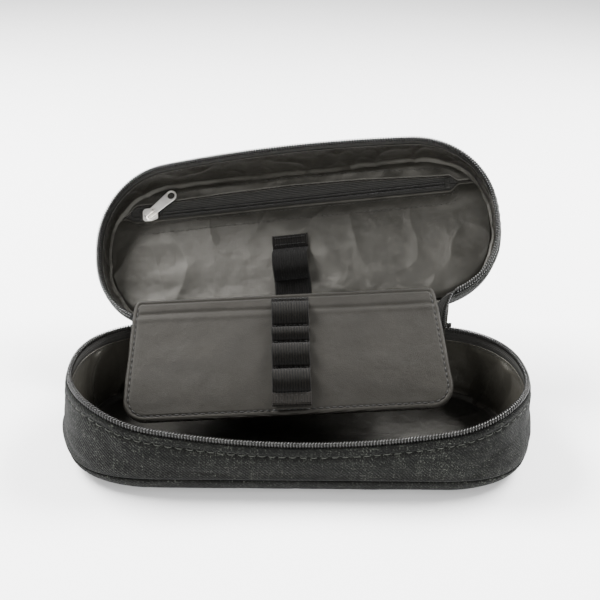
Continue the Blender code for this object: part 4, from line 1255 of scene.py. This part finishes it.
# the closed end of the main zip, down the wall behind
tz = np.linspace(20.0, 46.5, 60)
TAIL_X, TAIL_Y = 78.0, 46.75 - 0.9
rows = []
for xx in np.linspace(7.5, -7.5, 24):
    rows.append(np.stack([TAIL_X + xx + 0 * tz, TAIL_Y + 0.55 + 0 * tz + 0.1 * math.cos(2 * math.pi * xx / 1.2), tz], -1))
ob = surface("zip_tail_tape", np.array(rows), TAPE, thick=0.4, offset=0.0)
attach(ob, "base")
for i, side in enumerate((-1, 1)):
    line = np.stack([TAIL_X + side * 0.95 + 0 * tz, TAIL_Y + 1.1 + 0 * tz, tz], -1)
    line[:, 0] += side * 2.6 * smooth(38, 46, tz)
    ob = spiral("zip_tail_coil_%s" % ("a" if side < 0 else "b"), line, np.array([1.0, 0, 0]), np.array([0, 1.0, 0]), 1.45, 1.0, 0.55, 0.3, COIL)
    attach(ob, "base")
rows = []
for zz in np.linspace(16.0, 24.0, 14):
    xx = np.linspace(9.0, -9.0, 40)
    lift = 1.7 - 1.2 * np.clip(np.abs(xx) - 6.5, 0, 3) / 2.5 - 0.6 * np.exp(-((zz - 16.0) / 0.5) ** 2)
    rows.append(np.stack([TAIL_X + xx, TAIL_Y + 0.9 + lift * 0.9, zz + 0 * xx], -1))
ob = surface("zip_tail_patch", np.array(rows), TWILL, thick=0.6, offset=-1.0, flip=False)
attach(ob, "base")

# ---------------------------------------------------------------- floor, light, camera
def stage_material():
    m, nt, b = nodes_of("studio_floor")
    q = N(nt)
    n = q.noise(q.obj(), 3.0, 2)
    nt.links.new(q.ramp(n, [(0.3, (0.93, 0.93, 0.935)), (0.7, (0.95, 0.95, 0.95))]), b.inputs["Base Color"])
    b.inputs["Roughness"].default_value = 0.8
    b.inputs["Specular IOR Level"].default_value = 0.1
    return m


me = bpy.data.meshes.new("studio_floor")
me.from_pydata([(-9, -9, 0), (9, -9, 0), (9, 9, 0), (-9, 9, 0)], [], [(0, 1, 2, 3)])
floor = bpy.data.objects.new("studio_floor", me)
bpy.context.scene.collection.objects.link(floor)
me.materials.append(stage_material())
floor.location.z = -0.0002

world = bpy.data.worlds.new("studio")
world.use_nodes = True
world.node_tree.nodes["Background"].inputs[0].default_value = (1, 1, 1, 1)
world.node_tree.nodes["Background"].inputs[1].default_value = 0.95
bpy.context.scene.world = world


def area(name, loc, target, size, power):
    li = bpy.data.lights.new(name, 'AREA')
    li.shape = 'RECTANGLE'
    li.size, li.size_y = size
    li.energy = power
    ob = bpy.data.objects.new(name, li)
    bpy.context.scene.collection.objects.link(ob)
    ob.location = loc
    ob.rotation_mode = 'QUATERNION'
    ob.rotation_quaternion = (Vector(target) - Vector(loc)).to_track_quat('-Z', 'Y')
    return ob


area("key", (-0.80, 0.34, 1.05), (0, 0.03, 0.03), (0.8, 0.6), 78.0)
area("side_light", (0.80, 0.40, 1.0), (0, 0.03, 0.03), (0.8, 0.6), 62.0)
area("front_fill", (0.15, -1.25, 0.42), (0, 0, 0.05), (0.9, 0.5), 20.0)

EL, AZ, CR, DIST, F = math.radians(26.70), math.radians(1.81), math.radians(1.65), 419.61, 862.6
fw = np.array([math.sin(AZ) * math.cos(EL), math.cos(AZ) * math.cos(EL), -math.sin(EL)])
rt = np.array([math.cos(AZ), -math.sin(AZ), 0])
up = np.cross(rt, fw)
r2 = math.cos(CR) * rt + math.sin(CR) * up
u2 = -math.sin(CR) * rt + math.cos(CR) * up
pos = (np.array([-0.67, 0, 82.74]) - fw * DIST) * MM
cam = bpy.data.cameras.new("camera")
cam.sensor_width = 36.0
cam.lens = F * 36.0 / 600.0
cam.clip_start = 0.01
co = bpy.data.objects.new("camera", cam)
bpy.context.scene.collection.objects.link(co)
co.matrix_world = Matrix(((r2[0], u2[0], -fw[0], pos[0]), (r2[1], u2[1], -fw[1], pos[1]),
                          (r2[2], u2[2], -fw[2], pos[2]), (0, 0, 0, 1)))
bpy.context.scene.camera = co

bpy.context.view_layer.update()
